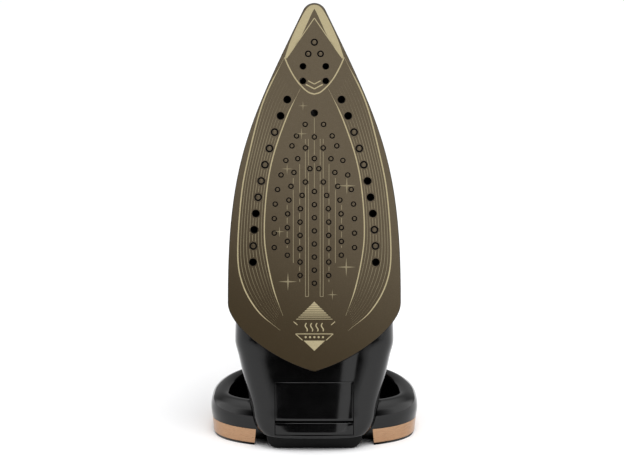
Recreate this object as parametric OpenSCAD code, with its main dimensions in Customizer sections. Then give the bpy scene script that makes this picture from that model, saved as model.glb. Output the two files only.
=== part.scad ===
// Steam iron standing on its heel. Every piece is drawn in the iron's own frame, then stood up:
// x across, y away from the sole face (height while ironing), z from the heel towards the tip.

/* [Soleplate] */
// Length of the soleplate from its heel point to its tip
sole_len = 252; // [205:1:305]
// Greatest width of the soleplate
sole_w = 118; // [98:1:142]
// Thickness of the coated plate
sole_t = 1.6; // [1.2:0.2:2.4]
// Radius of the rounded tip
tip_r = 8; // [6:0.5:10]
// Diameter of the large steam outlets
outlet_d = 5.4; // [4.4:0.2:6.6]
// Diameter of the small steam outlets
vent_d = 3.8; // [3:0.2:4.6]

/* [Heater] */
// Thickness of the cast heater body
casting_t = 14.4; // [12.4:0.2:15.4]
// Diameter of the tubular heating element
element_d = 6.2; // [5:0.2:7.4]
// Diameter of the thermostat can
thermostat_d = 22; // [18:1:27]

/* [Body] */
// Height of the heat skirt's upper face above the sole face
skirt_h = 22; // [21:0.5:24]
// Wall of the moulded shells
wall = 2.4; // [2:0.2:3]
// Height of the tank's highest point above the sole face
tank_h = 75; // [70:1:82]
// Length position where the tank meets the rear shell
tank_start = 85; // [82:1:92]
// Seam left between neighbouring shells
seam = 0.3; // [0.2:0.05:0.5]

/* [Stand] */
// Lean of the sole face from upright when the iron stands on its heel
lean = 10; // [8:0.5:12]
// Height of the soleplate's heel point above the surface
sole_lift = 58.6; // [56:0.2:64]
// Greatest width of the heel stand
heel_w = 145; // [137:1:175]
// Depth of the heel stand from front to back
heel_d = 122; // [119:1:147]
// Height of the heel stand's rim
heel_h = 29.5; // [27:0.5:32]
// Height of the metal-finished band round the heel stand
band_h = 10.5; // [8:0.5:12]
// Width of the heel foot under the rear shell
foot_w = 66; // [56:1:74]

/* [Handle] */
// Width of the grip at its middle
grip_w = 33; // [28:1:40]
// Height of the grip's top above the sole face
grip_top = 147; // [144:1:154]
// Thickness of the grip at its middle
grip_t = 29; // [25:1:33]

/* [Controls] */
// Width of one push button
button_w = 12.6; // [10:0.2:13.2]
// Length of one push button
button_l = 19; // [15:0.5:21]
// Travel of the push buttons
button_travel = 3.5; // [2:0.25:4]
// Diameter of the temperature dial
dial_d = 40; // [34:1:44]
// Thickness of the temperature dial
dial_t = 8; // [6:0.5:10]
// Sideways travel of the steam slider
slider_travel = 16; // [10:1:18]
// Lift of the drip valve over that travel
valve_lift = 2.4; // [1.6:0.2:2.6]
// Inside diameter of the filling mouth
mouth_d = 14; // [10:0.5:15]
// Width of the scale collector's door
collector_w = 54; // [44:1:58]
// Length of the scale collector's door
collector_l = 27; // [22:0.5:28]
// Diameter of the cord bore in the swivel gland
cord_bore_d = 7.2; // [5:0.2:8]
// Diameter of the swivel ball
ball_d = 18; // [16:0.5:20]

/* [Hidden] */
$fn = 64;

sole_half = sole_w / 2;
belly_u = 48;              // where the plate is widest
tip_angle = 26;            // half-angle of the tip
fit = 0.35;                // clearance round a moving or inserted piece
run = 0.05;                // radial running clearance of a pin
foot_front = 9.7;          // the heel foot's front behind the plate's heel point
centre_shift = 86;         // the plate's heel point to the middle of the whole depth
body_inset = 4.5;          // tank and rear shell in from the plate's edge
face_w = 8;                // the rear shell's front face behind the sole face
base_z = 10;               // underside of the rear shell when standing
shell_k = 40;              // points round a body section
head_start = 168;          // where the grip meets the head
gap = 0.1;                 // between faces that only touch

// ---------- placing ----------
module stand() translate([0, -centre_shift, sole_lift]) rotate([-lean, 0, 0]) children();
module on_floor() translate([0, foot_front - centre_shift, 0]) children();
// a plan drawn as (x, length), from one height to another
module plate(from, to) translate([0, to, 0]) rotate([90, 0, 0]) linear_extrude(to - from) children();
// a side view drawn as (height, length), centred across the iron
module across(width, x = 0) translate([x - width / 2, 0, 0]) rotate([90, 0, 90]) linear_extrude(width) children();
// local z points away from the sole, tipped forward by some degrees
module upright(u, w, x = 0, tip = 0) translate([x, w, u]) rotate([tip - 90, 0, 0]) children();
// a mesh made by the modeller in one go, for shells that are cut by other shells
module meshed() resize([0, 0, 0]) children();

// ---------- curves and lofts ----------
function bez(p, t) = pow(1 - t, 3) * p[0] + 3 * pow(1 - t, 2) * t * p[1] + 3 * (1 - t) * t * t * p[2]
                     + pow(t, 3) * p[3];
function curve(p, n) = [for (i = [0 : n]) bez(p, i / n)];
function mix(a, b, t) = a + (b - a) * t;
function ease(t) = let (c = min(1, max(0, t))) c * c * (3 - 2 * c);
function spow(v, n) = sign(v) * pow(abs(v), 2 / n);

tip_c = sole_len - tip_r;
shoulder = [tip_r * cos(tip_angle), tip_c + tip_r * sin(tip_angle)];
side_curve = [[sole_half, belly_u], [sole_half, belly_u + 93],
              shoulder + 88 * [sin(tip_angle), -cos(tip_angle)], shoulder];
heel_curve = [[0, 0], [27, 7], [sole_half, belly_u - 17], [sole_half, belly_u - 1]];
tip_arc = [for (a = [tip_angle + 13 : 13 : 89]) [tip_r * cos(a), tip_c + tip_r * sin(a)]];
half_outline = concat(curve(heel_curve, 10), curve(side_curve, 22), tip_arc);
function mirrored(p) = concat(p, [for (i = [len(p) - 1 : -1 : 1]) [-p[i][0], p[i][1]]]);
module sole_outline(grow = 0) {
    if (grow == 0) polygon(mirrored(half_outline));
    else offset(delta = grow) polygon(mirrored(half_outline));
}
side_table = [for (p = curve(side_curve, 22)) [p[1], p[0]]];
function half_at(u) = lookup(u, side_table);

// faces between two rings of k points that start at a and b
function band(a, b, k) = [for (i = [0 : k - 1]) let (j = (i + 1) % k)
                          each [[a + i, b + i, a + j], [a + j, b + i, b + j]]];
function flat(rings) = [for (r = rings) each r];
function turned(list) = [for (i = [len(list) - 1 : -1 : 0]) list[i]];
// a solid through rings, each wound anticlockwise as seen from the last one's side
module loft(rings) {
    k = len(rings[0]);
    n = len(rings);
    polyhedron(flat(rings), concat(
        [for (i = [0 : n - 2]) each band(i * k, (i + 1) * k, k)],
        [[for (i = [0 : k - 1]) i]],
        [[for (i = [k - 1 : -1 : 0]) (n - 1) * k + i]]));
}
// a channel, such as half a handle: each ring is an outer arc followed by its inner arc backwards
module channel(rings) {
    k = len(rings[0]);
    n = len(rings);
    m = k / 2;
    polyhedron(flat(rings), concat(
        [for (i = [0 : n - 2]) each band(i * k, (i + 1) * k, k)],
        [for (i = [0 : m - 2]) let (j = k - 1 - i) each [[i, i + 1, j], [i + 1, j - 1, j]]],
        [for (i = [0 : m - 2]) let (o = (n - 1) * k, j = k - 1 - i)
            each [[o + i, o + j, o + i + 1], [o + i + 1, o + j, o + j - 1]]]));
}
// a section across the body: half-width, lowest and highest point, squareness, lean of its plane, flat floor
function section(u, half, low, high, n, slope = 0, k = shell_k, floor = -100) =
    [for (i = [0 : k - 1]) let (t = 360 * i / k, w = (low + high) / 2 + (high - low) / 2 * spow(sin(t), n))
        [half * spow(cos(t), n), max(w, floor), u + slope * w]];
// a section parallel to the sole: height, half-width, rear and front ends
function level(w, half, back, front, n, k = 32) =
    [for (i = [0 : k - 1]) let (t = 360 * i / k)
        [half * spow(cos(t), n), w, (back + front) / 2 - (front - back) / 2 * spow(sin(t), n)]];

// ---------- water tank ----------
nose = sole_len - 9.5;
// length, height of the top
tank_run = nose - tank_start;
tank_line = [[nose, 34], [nose - 4, 40], [nose - 12, 47], [nose - 22, 54], [nose - 34, 62], [nose - 50, tank_h - 5],
             [tank_start + tank_run * 0.556, tank_h], [tank_start + tank_run * 0.416, tank_h - 1],
             [tank_start + tank_run * 0.257, tank_h - 5], [tank_start + tank_run * 0.111, tank_h - 8.5],
             [tank_start, tank_h - 10]];
tank_base = skirt_h + 0.2;
function tank_ring(p, shrink, u) = section(u, half_at(p[0]) - body_inset - shrink, face_w + shrink, p[1] - shrink, 3,
    0, shell_k, tank_base + shrink);
module tank_outer(grow = 0) loft([for (p = turned(tank_line)) tank_ring(p, -grow, p[0] + (p[0] == nose ? grow : 0))]);
module tank_inner() loft([for (i = [len(tank_line) - 1 : -1 : 1])
    let (p = tank_line[i]) tank_ring(p, wall, p[0] - (i == len(tank_line) - 1 ? 1 : 0))]);

// ---------- filling mouth, on the nose's slope ----------
mouth_u = nose - 21;
mouth_w = 54.5;
mouth_tip = 36;
collar_r = mouth_d / 2 + 1.8;
lid_l = 23;
lid_w = 21;
hinge_y = lid_l / 2 + 0.4;
module at_mouth() upright(mouth_u, mouth_w, 0, mouth_tip) children();

// ---------- head and its buttons ----------
head_line = [[head_start, 21, 114, 144], [head_start + 8, 22.5, 111, 144.5], [head_start + 18, 23, 108, 142],
             [head_start + 28, 21.5, 105.5, 135.5], [head_start + 35, 17.5, 106, 128],
             [head_start + 38.5, 11, 109, 122]];
function head_ring(p, shrink, u) = section(u, p[1] - shrink, p[2] + shrink, p[3] - shrink, 2.6, 0, 32);
module head_outer(grow = 0) loft([for (p = head_line)
    head_ring(p, -grow, p[0] + (p[0] == head_start + 38.5 ? grow : 0) - (p[0] == head_start ? grow : 0))]);
module head_inner() loft([for (i = [0 : len(head_line) - 1])
    let (p = head_line[i], last = i == len(head_line) - 1) head_ring(p, wall, p[0] - (i == 0 ? 1 : last ? wall : 0))]);
button_u = head_start + 19;
button_lift = 140.6;
button_tip = 22;
button_x = button_w / 2 + 1.6;
bezel_w = 2 * button_w + 8;
bezel_l = button_l + 6;
bezel_t = 4;
module at_buttons(x = 0) upright(button_u, button_lift, x, button_tip) children();
module rounded(w, l, r) offset(r = r) square([w - 2 * r, l - 2 * r], center = true);

// ---------- rear shell: the column under the plate and the body up to the tank ----------
flare = 0.235;             // how fast the column widens towards the tip
shoulder_u = 19;
shoulder_half = sole_half - 3.8;
body_top = tank_h - 9;
base_u = (base_z - sole_lift) / cos(lean);
function column_half(u) = shoulder_half - flare * (shoulder_u - u);
function body_half(u) = half_at(u) - body_inset;
// length at the sole face, half-width, highest point
rear_line = [[base_u, column_half(base_u + 5) - 3.4, body_top - 3], [base_u + 3.5, column_half(base_u + 9) - 1.2, body_top - 1],
             [base_u + 9, column_half(base_u + 14), body_top], [-28, column_half(-26), body_top],
             [-8, column_half(-7), body_top], [8, column_half(8), body_top],
             [shoulder_u, mix(shoulder_half, body_half(belly_u), 0.1), body_top],
             [34, mix(shoulder_half, body_half(belly_u), 0.6), body_top],
             [belly_u + 2, body_half(belly_u + 2), body_top],
             [tank_start - seam, body_half(tank_start), tank_h - 10]];
function rear_ring(p, shrink, u) = section(u, p[1] - shrink, face_w + shrink, p[2] - shrink,
    mix(3.8, 3, ease((u - 40) / (tank_start - 40))), min(1, max(0, u / base_u)) * tan(lean));
module rear_outer(grow = 0) loft([for (p = rear_line) rear_ring(p, -grow, p[0] - (p[0] == base_u ? grow : 0))]);
module rear_inner() loft([for (i = [0 : len(rear_line) - 1])
    let (p = rear_line[i]) rear_ring(p, wall, p[0] + (i == 0 ? wall : i == len(rear_line) - 1 ? 1 : 0))]);

// ---------- rear tower, from the column up to the grip ----------
tower_front = 17;
tower_top = grip_top - 7.5;
function heel_u(w) = base_u + w * tan(lean);
// height, half-width, how far the back stands off the heel plane, front end
tower_line = [[34, 46, 2, 44], [52, 45.5, 1, 40], [62, 43, 0, 36.5], [72, 38.5, 0, 31], [84, 33, 0, 26], [97, 28, 0, 22],
              [110, 24, 0, 19], [122, 21.5, 1.5, tower_front + 0.5], [tower_top - 9.5, 20, 4.5, tower_front],
              [tower_top - 3.5, 17, 9, tower_front - 0.5], [tower_top, 12, 15, tower_front - 1.5]];
function tower_ring(p, shrink, w) =
    level(w, p[1] - shrink, heel_u(p[0]) + p[2] + shrink, p[3] - shrink, 3);
module tower_outer(grow = 0) loft([for (p = tower_line) tower_ring(p, -grow, p[0] + (p[0] == tower_top ? grow : 0))]);
module tower_inner() loft([for (i = [0 : len(tower_line) - 1])
    let (p = tower_line[i]) tower_ring(p, wall, p[0] - (i == 0 ? 1 : i == len(tower_line) - 1 ? wall : 0))]);

// ---------- temperature dial ----------
dial_u = 61;
dial_w = tank_h - 4.6;
seat_r = dial_d / 2 + 2.5;
spindle_r = 3;

// ---------- scale collector ----------
door_top = -8.6;
door_t = 2.6;
cup_depth = 38;
module door_block(grow) translate([-collector_w / 2 - grow, face_w - 3, door_top - collector_l - grow])
    cube([collector_w + 2 * grow, 3 + 2.4 + door_t, collector_l + 2 * grow]);

// ---------- cord gland ----------
gland_u = 0;
gland_w = tower_top - 6.5;
gland_tip = -10;           // the gland points back and a little down when the iron stands
socket_r = ball_d / 2 + 4;
gland_open_r = ball_d / 2 - 0.9;
gland_nose = 16;
module at_gland() upright(gland_u, gland_w, 0, gland_tip) children();

// ---------- grip ----------
grip_mid = grip_top - grip_t / 2;
// length, half-width, lowest, highest
grip_line = [[tower_front - 13, grip_w / 2 + 3, grip_mid - 19.5, grip_mid + 6.5],
             [50, grip_w / 2 + 1, grip_mid - 16.5, grip_mid + 10.5],
             [85, grip_w / 2, grip_mid - grip_t / 2, grip_mid + 13.5],
             [115, grip_w / 2, grip_mid - grip_t / 2, grip_top],
             [145, grip_w / 2 + 1.5, grip_mid - 16, grip_mid + 13.5],
             [head_start - seam, grip_w / 2 + 4, grip_mid - 18.5, grip_mid + 11.5]];
trim_t = 2.2;
function grip_split(p) = (p[2] + p[3]) / 2 + 1;
// part of an ellipse from one height to another: outer arc, then the inner arc backwards
function grip_arc(p, shrink, from, to, m) = [for (i = [0 : m])
    let (mid = (p[2] + p[3]) / 2, rise = (p[3] - p[2]) / 2 - shrink,
         a0 = asin((from - mid) / rise), a = mix(a0, to, i / m))
    [(p[1] - shrink) * spow(cos(a), 2.3), mid + rise * spow(sin(a), 2.3), p[0]]];
module grip_shell(from, upper) {
    s = upper ? 1 : -1;
    channel([for (p = grip_line)
        let (half = [for (i = [0 : 9]) grip_side(p, 0, from(p), s, i / 9)],
             back = [for (i = [0 : 9]) grip_side(p, wall, from(p), s, i / 9)],
             outer = concat(half, [for (i = [8 : -1 : 0]) [-half[i][0], half[i][1], half[i][2]]]),
             inner = concat(back, [for (i = [8 : -1 : 0]) [-back[i][0], back[i][1], back[i][2]]]),
             ring = concat(outer, [for (i = [18 : -1 : 0]) inner[i]]))
        upper ? ring : [for (i = [len(ring) - 1 : -1 : 0]) ring[i]]]);
}
// a point on the section, t from 0 at the split to 1 at the crown (upper) or the belly (lower)
function grip_side(p, shrink, split, s, t) =
    let (mid = (p[2] + p[3]) / 2, rise = (p[3] - p[2]) / 2 - shrink, v0 = (split - mid) / rise,
         a0 = asin(sign(v0) * pow(abs(v0), 1.15)), a = mix(a0, s * 90, t))
    [t == 1 ? 0 : (p[1] - shrink) * spow(cos(a), 2.3), mid + rise * spow(sin(a), 2.3), p[0]];

// ---------- heel stand, drawn on the floor ----------
heel_half = heel_w / 2;
heel_mid = 44;
heel_n = 2.4;
module heel_rings(list) loft([for (r = list) heel_ring(r[0], r[1], r[2], r[3])]);
function heel_ring(inset, front_extra, back_extra, z) = [for (i = [0 : 55])
    let (t = 360 * i / 56, a = heel_half - inset, front = heel_mid - inset - front_extra,
         back = heel_d - heel_mid - inset - back_extra)
    [a * spow(cos(t), heel_n), heel_mid + (sin(t) < 0 ? front : back) * spow(sin(t), heel_n), z]];
band_low = 1.6;
band_t = 1.4;
recess_z = base_z - 0.6;
rim_w = 13.5;              // from the stand's outside to its inner wall
front_rim = 6.5;           // how much wider the rim is at the front
// inset, extra at the front, extra at the back, height
band_in = band_t + 0.1;
heel_profile = [[2.6, 0, 0, 0], [1.9 + band_in, 0, 0, band_low], [0.9 + band_in, 0, 0, band_low + band_h],
                [0.8, 0, 0, band_low + band_h + 0.1], [0, 0, 0, 19], [1.2, 0, 0, heel_h - 5], [4, 0.8, 0, heel_h - 1.6],
                [8.2, 2.5, 0, heel_h], [11.6, 5, 0, heel_h - 0.8], [rim_w, front_rim, -1.5, heel_h - 3.5],
                [rim_w + 0.6, front_rim, -1.5, recess_z]];
// the gap under the front of the rim, beside the heel foot
notch_half = [[column_half(base_u) + 2.4, -1], [column_half(base_u) + 2.2, band_low + 1],
              [column_half(base_u) + 1.4, band_low + band_h + 0.2]];
notch_d = 22;
module notch() translate([0, notch_d, 0]) rotate([90, 0, 0])
    linear_extrude(60) polygon(concat(notch_half, [for (i = [len(notch_half) - 1 : -1 : 0])
        [-notch_half[i][0], notch_half[i][1]]]));
screw_spots = [[-46, 84], [46, 84], [0, 112]];

// ================= pieces =================
// ---- steam outlets, as (x, length) on the right-hand side ----
function outlet_x(u) = sole_half - 16.9 - 23.4 * pow(max(0, (u - 74.7) / 111.5), 2.05);
outlets = [for (i = [0 : 10]) let (u = 75.1 + 11.15 * i) [outlet_x(u), u]];
tip_outlets = [[4.2, 217.8], [7.8, 209.3], [7.8, 199.3]];
centre_outlets = [[0, 177.4], [0, 225.7]];
// columns of small outlets: offset, bend, length where the bend starts, first, pitch, how many
vent_columns = [[9.8, 0.0059, 105.4, 66, 9.16, 9], [18.5, 0.0034, 100.3, 79.9, 9.46, 8],
                [27.5, 0.0044, 102.3, 85.1, 9.97, 8]];
function vent_x(c, u) = c[0] - c[1] * pow(max(0, u - c[2]), 2);
vents = [for (c = vent_columns) for (i = [0 : c[5] - 1]) let (u = c[3] + c[4] * i) [vent_x(c, u), u]];
upper_vents = [[6.3, 169.6], [12.2, 161.7], [6.1, 153.5]];
centre_vents = [0, 1, 2, 3, 4, 5, 6, 7];
open_right = [0, 3, 4, 5, 9, 10];
open_left = [0, 2, 3, 9, 10];
module hole(p, d, from, to, s = 1, sides = 64) upright(p[1], from, s * p[0])
    cylinder(d = d, h = to - from, $fn = sides);

module soleplate() color("#5a4e38") stand() difference() {
    plate(0, sole_t) sole_outline();
    for (s = [-1, 1]) {
        for (p = outlets) hole(p, outlet_d, -1, sole_t + 1, s);
        for (p = tip_outlets) hole(p, outlet_d - 0.8, -1, sole_t + 1, s);
        for (p = concat(vents, upper_vents)) hole(p, vent_d, -1, sole_t + 1, s);
    }
    for (p = centre_outlets) hole(p, outlet_d - 0.4, -1, sole_t + 1);
    for (i = centre_vents) hole([0, 60.6 + 9 * i], vent_d, -1, sole_t + 1);
    for (u = [146.2, 161]) hole([0, u], vent_d, -1, sole_t + 1);
}

casting_top = sole_t + gap + casting_t;
element_r = element_d / 2;
module element_path(r) {
    for (s = [-1, 1]) translate([s * 35, casting_top, 34]) rotate([0, -s * 7.6, 0]) cylinder(r = r, h = 158);
    translate([0, casting_top, 190.5]) rotate([90, 0, 0]) rotate([0, 0, 7.6])
        rotate_extrude(angle = 164.8) translate([14.1, 0]) circle(r);
}
module heater_casting() color("#8a8172") stand() difference() {
    plate(sole_t + gap, casting_top) sole_outline(-7);
    plate(casting_top - 9, casting_top + 1) offset(delta = -14) sole_outline(-14);
    for (i = open_right) hole(outlets[i], outlet_d - 0.6, 0, casting_top + 1);
    for (i = open_left) hole(outlets[i], outlet_d - 0.6, 0, casting_top + 1, -1);
    for (s = [-1, 1]) for (i = [1, 2]) hole(tip_outlets[i], outlet_d - 1.2, 0, casting_top + 1, s);
    hole(centre_outlets[0], outlet_d - 0.8, 0, casting_top + 1);
    element_path(element_r + 0.2);
    for (p = skirt_bosses) hole(p, 3.3, casting_top - 8, casting_top + 1);
    hole([0, duct_u], 3, casting_top - 7, casting_top + 1);
}
module heating_element() color("#9c9790") stand() element_path(element_r);
// between the element's legs
function leg_x(u) = 35 - (u - 34) * tan(7.6);
module chamber_cover() color("#b4b6b8") stand() plate(casting_top + gap, casting_top + 1.6) intersection() {
    offset(delta = -13) sole_outline(-10);
    polygon([for (c = [[-1, 30], [1, 30], [1, 186], [-1, 186]]) [c[0] * (leg_x(c[1]) - element_r - 1.2), c[1]]]);
}
module thermostat() color("#c9c4b6") stand() upright(dial_u, casting_top + 1.7) difference() {
    union() {
        cylinder(d = thermostat_d, h = 7.5);
        for (s = [-1, 1]) translate([s * thermostat_d / 2, 0, skirt_h + 0.6 - casting_top]) cube([9, 5, 1.2], center = true);
    }
    translate([0, 0, 2]) cylinder(r = spindle_r + run, h = 8);
}
module thermal_fuse() color("#e8e2d0") stand() upright(tank_start - 7, skirt_h + 2 + gap) {
    rotate([0, 90, 0]) cylinder(r = 2, h = 16, center = true);
    for (s = [-1, 1]) translate([s * 10, 0, 0]) rotate([0, 90, 0]) cylinder(r = 0.7, h = 6, center = true);
}
module terminal_block() color("#e9e6dc") stand() translate([0, tank_h + 3, 0]) difference() {
    cube([26, 16, 12], center = true);
    for (x = [-8, 0, 8]) translate([x, 0, 0]) cylinder(d = 4, h = 20, center = true);
}
duct_w = skirt_h + 5;
duct_u = 17.6;
module duct(r, extra) {
    translate([0, duct_w, door_top - 1.2 - extra]) cylinder(r = r, h = duct_u - door_top + 1.2 + r + extra);
    upright(duct_u, casting_top + gap - extra) cylinder(r = r, h = duct_w - casting_top - gap + extra);
}
module scale_duct() color("#c9c4b6") stand() difference() {
    duct(2.4, 0);
    duct(1.5, 1);
}

skirt_bosses = [[12 - sole_half, 89.7], [sole_half - 12, 89.7], [0, sole_len - 23]];
// height, distance in from the plate's edge
skirt_line = [[sole_t + gap, -0.6], [8, -0.6], [13, 0.6], [skirt_h - 0.8, body_inset - 0.6], [skirt_h, body_inset + 0.4]];
function inset_outline(d) = let (h = half_outline, n = len(h)) mirrored([for (i = [0 : n - 1])
    let (a = i == 0 ? [-h[1][0], h[1][1]] : h[i - 1], b = i == n - 1 ? [-h[i][0], h[i][1]] : h[i + 1],
         along = (b - a) / norm(b - a)) h[i] + d * [-along[1], along[0]]]);
function skirt_ring(w, d) = turned([for (p = inset_outline(d)) [p[0], w, p[1]]]);
module skirt() color("#161616") stand() meshed() difference() {
    loft([for (p = skirt_line) skirt_ring(p[0], p[1])]);
    loft([for (i = [0 : len(skirt_line) - 2]) let (p = skirt_line[i])
        skirt_ring(i == 0 ? p[0] - 1 : i == len(skirt_line) - 2 ? skirt_h - wall : p[0], p[1] + wall)]);
    upright(dial_u, skirt_h - wall - 1) cylinder(d = thermostat_d + 2, h = wall + 3);
    for (p = skirt_bosses) hole(p, 4.4, skirt_h - wall - 1, skirt_h + 1, 1, 20);
    upright(duct_u, skirt_h - wall - 1) cylinder(r = 2.4 + fit, h = wall + 3, $fn = 20);
    upright(valve_u, skirt_h - wall - 1) cylinder(r = 4.2, h = wall + 3);
}
// the bosses' screws pass the skirt's top and bite in the casting
module skirt_screws() color("#9a9a9a") stand() for (p = skirt_bosses)
    upright(p[1], casting_top - 7, p[0]) difference() {
        union() {
            cylinder(d = 3.2, h = skirt_h - wall - casting_top + 7 - 1.4);
            translate([0, 0, skirt_h - wall - casting_top + 7 - 1.4]) cylinder(d = 4, h = 1.2);
        }
        translate([0, 0, skirt_h - wall - casting_top + 7]) cube([3, 0.8, 1.4], center = true);
    }

valve_u = 128;
module water_tank() color("#2b2622", 0.75) stand() meshed() difference() {
    tank_outer();
    tank_inner();
    at_mouth() translate([0, 0, -14]) cylinder(r = collar_r + fit, h = 30, $fn = 32);
    upright(slider_u, tank_h - 8) cylinder(r = 2.3, h = 20, $fn = 20);
    upright(valve_u, skirt_h - 4) cylinder(r = 4.2, h = 10, $fn = 24);
}
end_ring = tank_ring(tank_line[len(tank_line) - 1], 0, 0);
end_inner = tank_ring(tank_line[len(tank_line) - 1], wall, 0);
function ring_2d(ring) = [for (p = ring) [p[0], p[1]]];
module tank_gasket() color("#3a3a3a") stand() translate([0, 0, tank_start - seam + 0.05]) linear_extrude(seam - 0.1)
    difference() {
        polygon(ring_2d(tank_ring(tank_line[len(tank_line) - 1], 0.4, 0)));
        polygon(ring_2d(end_inner));
    }
module tank_end() color("#201d1b") stand() translate([0, 0, tank_start + 0.6]) linear_extrude(2.2)
    polygon(ring_2d(tank_ring(tank_line[len(tank_line) - 1], wall + fit, 0)));

module fill_collar() color("#1b1b1b") stand() at_mouth() difference() {
    translate([0, 0, -8]) cylinder(r = collar_r, h = 9.4);
    translate([0, 0, -9]) cylinder(d = mouth_d, h = 12);
}
lid_z = 1.7;
module fill_door() color("#141414") stand() at_mouth() difference() {
    union() {
        translate([0, 0, lid_z]) linear_extrude(2.4) rounded(lid_w, lid_l, 6);
        translate([0, hinge_y - 1, lid_z + 1.6]) rotate([0, 90, 0]) cylinder(r = 2.2, h = 9, center = true);
    }
    translate([0, hinge_y - 1, lid_z + 1.6]) rotate([0, 90, 0]) cylinder(r = 0.8 + run, h = 20, center = true);
}
module fill_door_pin() color("#b9b9b9") stand() at_mouth() {
    translate([0, hinge_y - 1, lid_z + 1.6]) rotate([0, 90, 0]) cylinder(r = 0.8, h = 15, center = true);
}

function neck_ring(w, half, back, front, shrink) = level(w, half - shrink, back + shrink, front - shrink, 2.6, 28);
// height, half-width, rear and front ends along the iron
neck_line = [[50, 21, 163, 207], [62, 20.5, 164, 206], [76, 18.5, 168, 203], [90, 17, 171.5, 200],
             [104, 18, 171, 201], [118, 19, 170, 202]];
module neck_shell() color("#121212") stand() meshed() difference() {
    loft([for (p = neck_line) neck_ring(p[0], p[1], p[2], p[3], 0)]);
    loft([for (p = neck_line) neck_ring(p[0] + (p[0] == 50 ? -1 : p[0] == 118 ? 1 : 0), p[1], p[2], p[3], wall)]);
    tank_outer(seam);
    head_outer(seam);
    nozzle_at() translate([0, 0, -12]) cylinder(r = 5 + fit, h = 30, $fn = 32);
}
module nozzle_at() translate([0, 92, 196]) rotate([24, 0, 0]) children();
module spray_nozzle() color("#b87f52") stand() nozzle_at() difference() {
    union() {
        translate([0, 0, -6]) cylinder(r = 5, h = 11);
        translate([0, 0, 5]) cylinder(r1 = 5, r2 = 3.4, h = 2);
    }
    translate([0, 0, 5.4]) cylinder(r = 2, h = 3);
    translate([0, 0, -7]) cylinder(r = 0.6, h = 20);
}
module spray_tube() color("#d8d8d0") stand() upright(186.5, 95) difference() {
    cylinder(r = 1.8, h = 17);
    translate([0, 0, -1]) cylinder(r = 1, h = 20);
}
module head_housing() color("#121212") stand() meshed() difference() {
    head_outer();
    head_inner();
    at_buttons() translate([0, 0, -8]) linear_extrude(20) rounded(bezel_w + 2 * fit, bezel_l + 2 * fit, 6.4);
    upright(186.5, 100) cylinder(r = 4.5, h = 14, $fn = 24);
}
module button_bezel() color("#b87f52") stand() at_buttons() difference() {
    translate([0, 0, 0.6 - bezel_t]) linear_extrude(bezel_t) rounded(bezel_w, bezel_l, 6);
    for (s = [-1, 1]) translate([s * button_x, 0, -10]) linear_extrude(20)
        rounded(button_w + 2 * fit, button_l + 2 * fit, 4.2);
}
stem_r = 2.6;
stem_low = -22;
module button(s) stand() at_buttons(s * button_x) difference() {
    translate([0, 0, -3]) linear_extrude(5.4) rounded(button_w, button_l, 4);
    translate([0, 0, -4]) cylinder(r = stem_r, h = 3);
}
module boost_button() color("#1a1a1a") button(1);
module spray_button() color("#1a1a1a") button(-1);
module piston(s) stand() at_buttons(s * button_x) translate([0, 0, stem_low]) {
    cylinder(r = stem_r, h = -1.2 - stem_low);
    translate([0, 0, 2]) cylinder(r = stem_r + 0.3, h = 2);
}
module boost_piston() color("#d9d6cc") piston(1);
module spray_piston() color("#d9d6cc") piston(-1);
pump_top = -11.5;
module pump(s) stand() at_buttons(s * button_x) difference() {
    translate([0, 0, -27]) cylinder(r = 5, h = 27 + pump_top);
    translate([0, 0, -25.8]) cylinder(r = stem_r + 0.3 + 0.2, h = 30);
}
module boost_pump() color("#cfcbbf") pump(1);
module spray_pump() color("#cfcbbf") pump(-1);
// a coil spring round a piston
spring_r = 4;
wire_r = 0.4;
module coil(s) stand() at_buttons(s * button_x) translate([0, 0, pump_top + wire_r + 0.1]) {
    turns = 4;
    steps = 12 * turns;
    rise = -3 - pump_top - 2 * wire_r - 0.2;
    loft([for (i = [0 : steps]) let (a = 30 * i) [for (j = [5 : -1 : 0])
        [(spring_r + wire_r * cos(60 * j)) * cos(a), (spring_r + wire_r * cos(60 * j)) * sin(a),
         rise * i / steps + wire_r * sin(60 * j)]]]);
}
module boost_spring() color("#c0c0c0") coil(1);
module spray_spring() color("#c0c0c0") coil(-1);

trim_low = function (p) grip_split(p) - trim_t / 2;
trim_high = function (p) grip_split(p) + trim_t / 2;
lens_u = 40;
module handle_upper() color("#0e0e0e") stand() meshed() difference() {
    grip_shell(function (p) grip_split(p) + trim_t / 2 + gap, true);
    tower_outer(seam);
    upright(lens_u, grip_mid) cylinder(r = 3.2, h = 40, $fn = 24);
}
module handle_lower() color("#1d1d1d") stand() meshed() difference() {
    grip_shell(function (p) grip_split(p) - trim_t / 2 - gap, false);
    tower_outer(seam);
}
module handle_trim() color("#b87f52") stand() meshed() difference() {
    for (s = [-1, 1]) loft([for (p = grip_line) let (x = s * (p[1] - 0.85), mid = grip_split(p))
        [for (c = [[-1, -1], [1, -1], [1, 1], [-1, 1]]) [x + 1.1 * c[0], mid + trim_t / 2 * c[1], p[0]]]]);
    tower_outer(seam);
}
lens_w = grip_mid + 9.2;
module pilot_lens() color("#c8541e") stand() upright(lens_u, lens_w - 6) {
    cylinder(r = 3, h = 6.4);
    cylinder(r = 3.9, h = 2);
}
module control_board() color("#2f6b3a") stand() translate([0, grip_mid + 1, 92]) {
    cube([20, 1.6, 62], center = true);
    for (u = [-18, 4]) translate([0, 3.2, u]) cube([12, 5, 10], center = true);
    translate([0, 3.6, 22]) rotate([-90, 0, 0]) cylinder(d = 9, h = 4, center = true);
}

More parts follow.
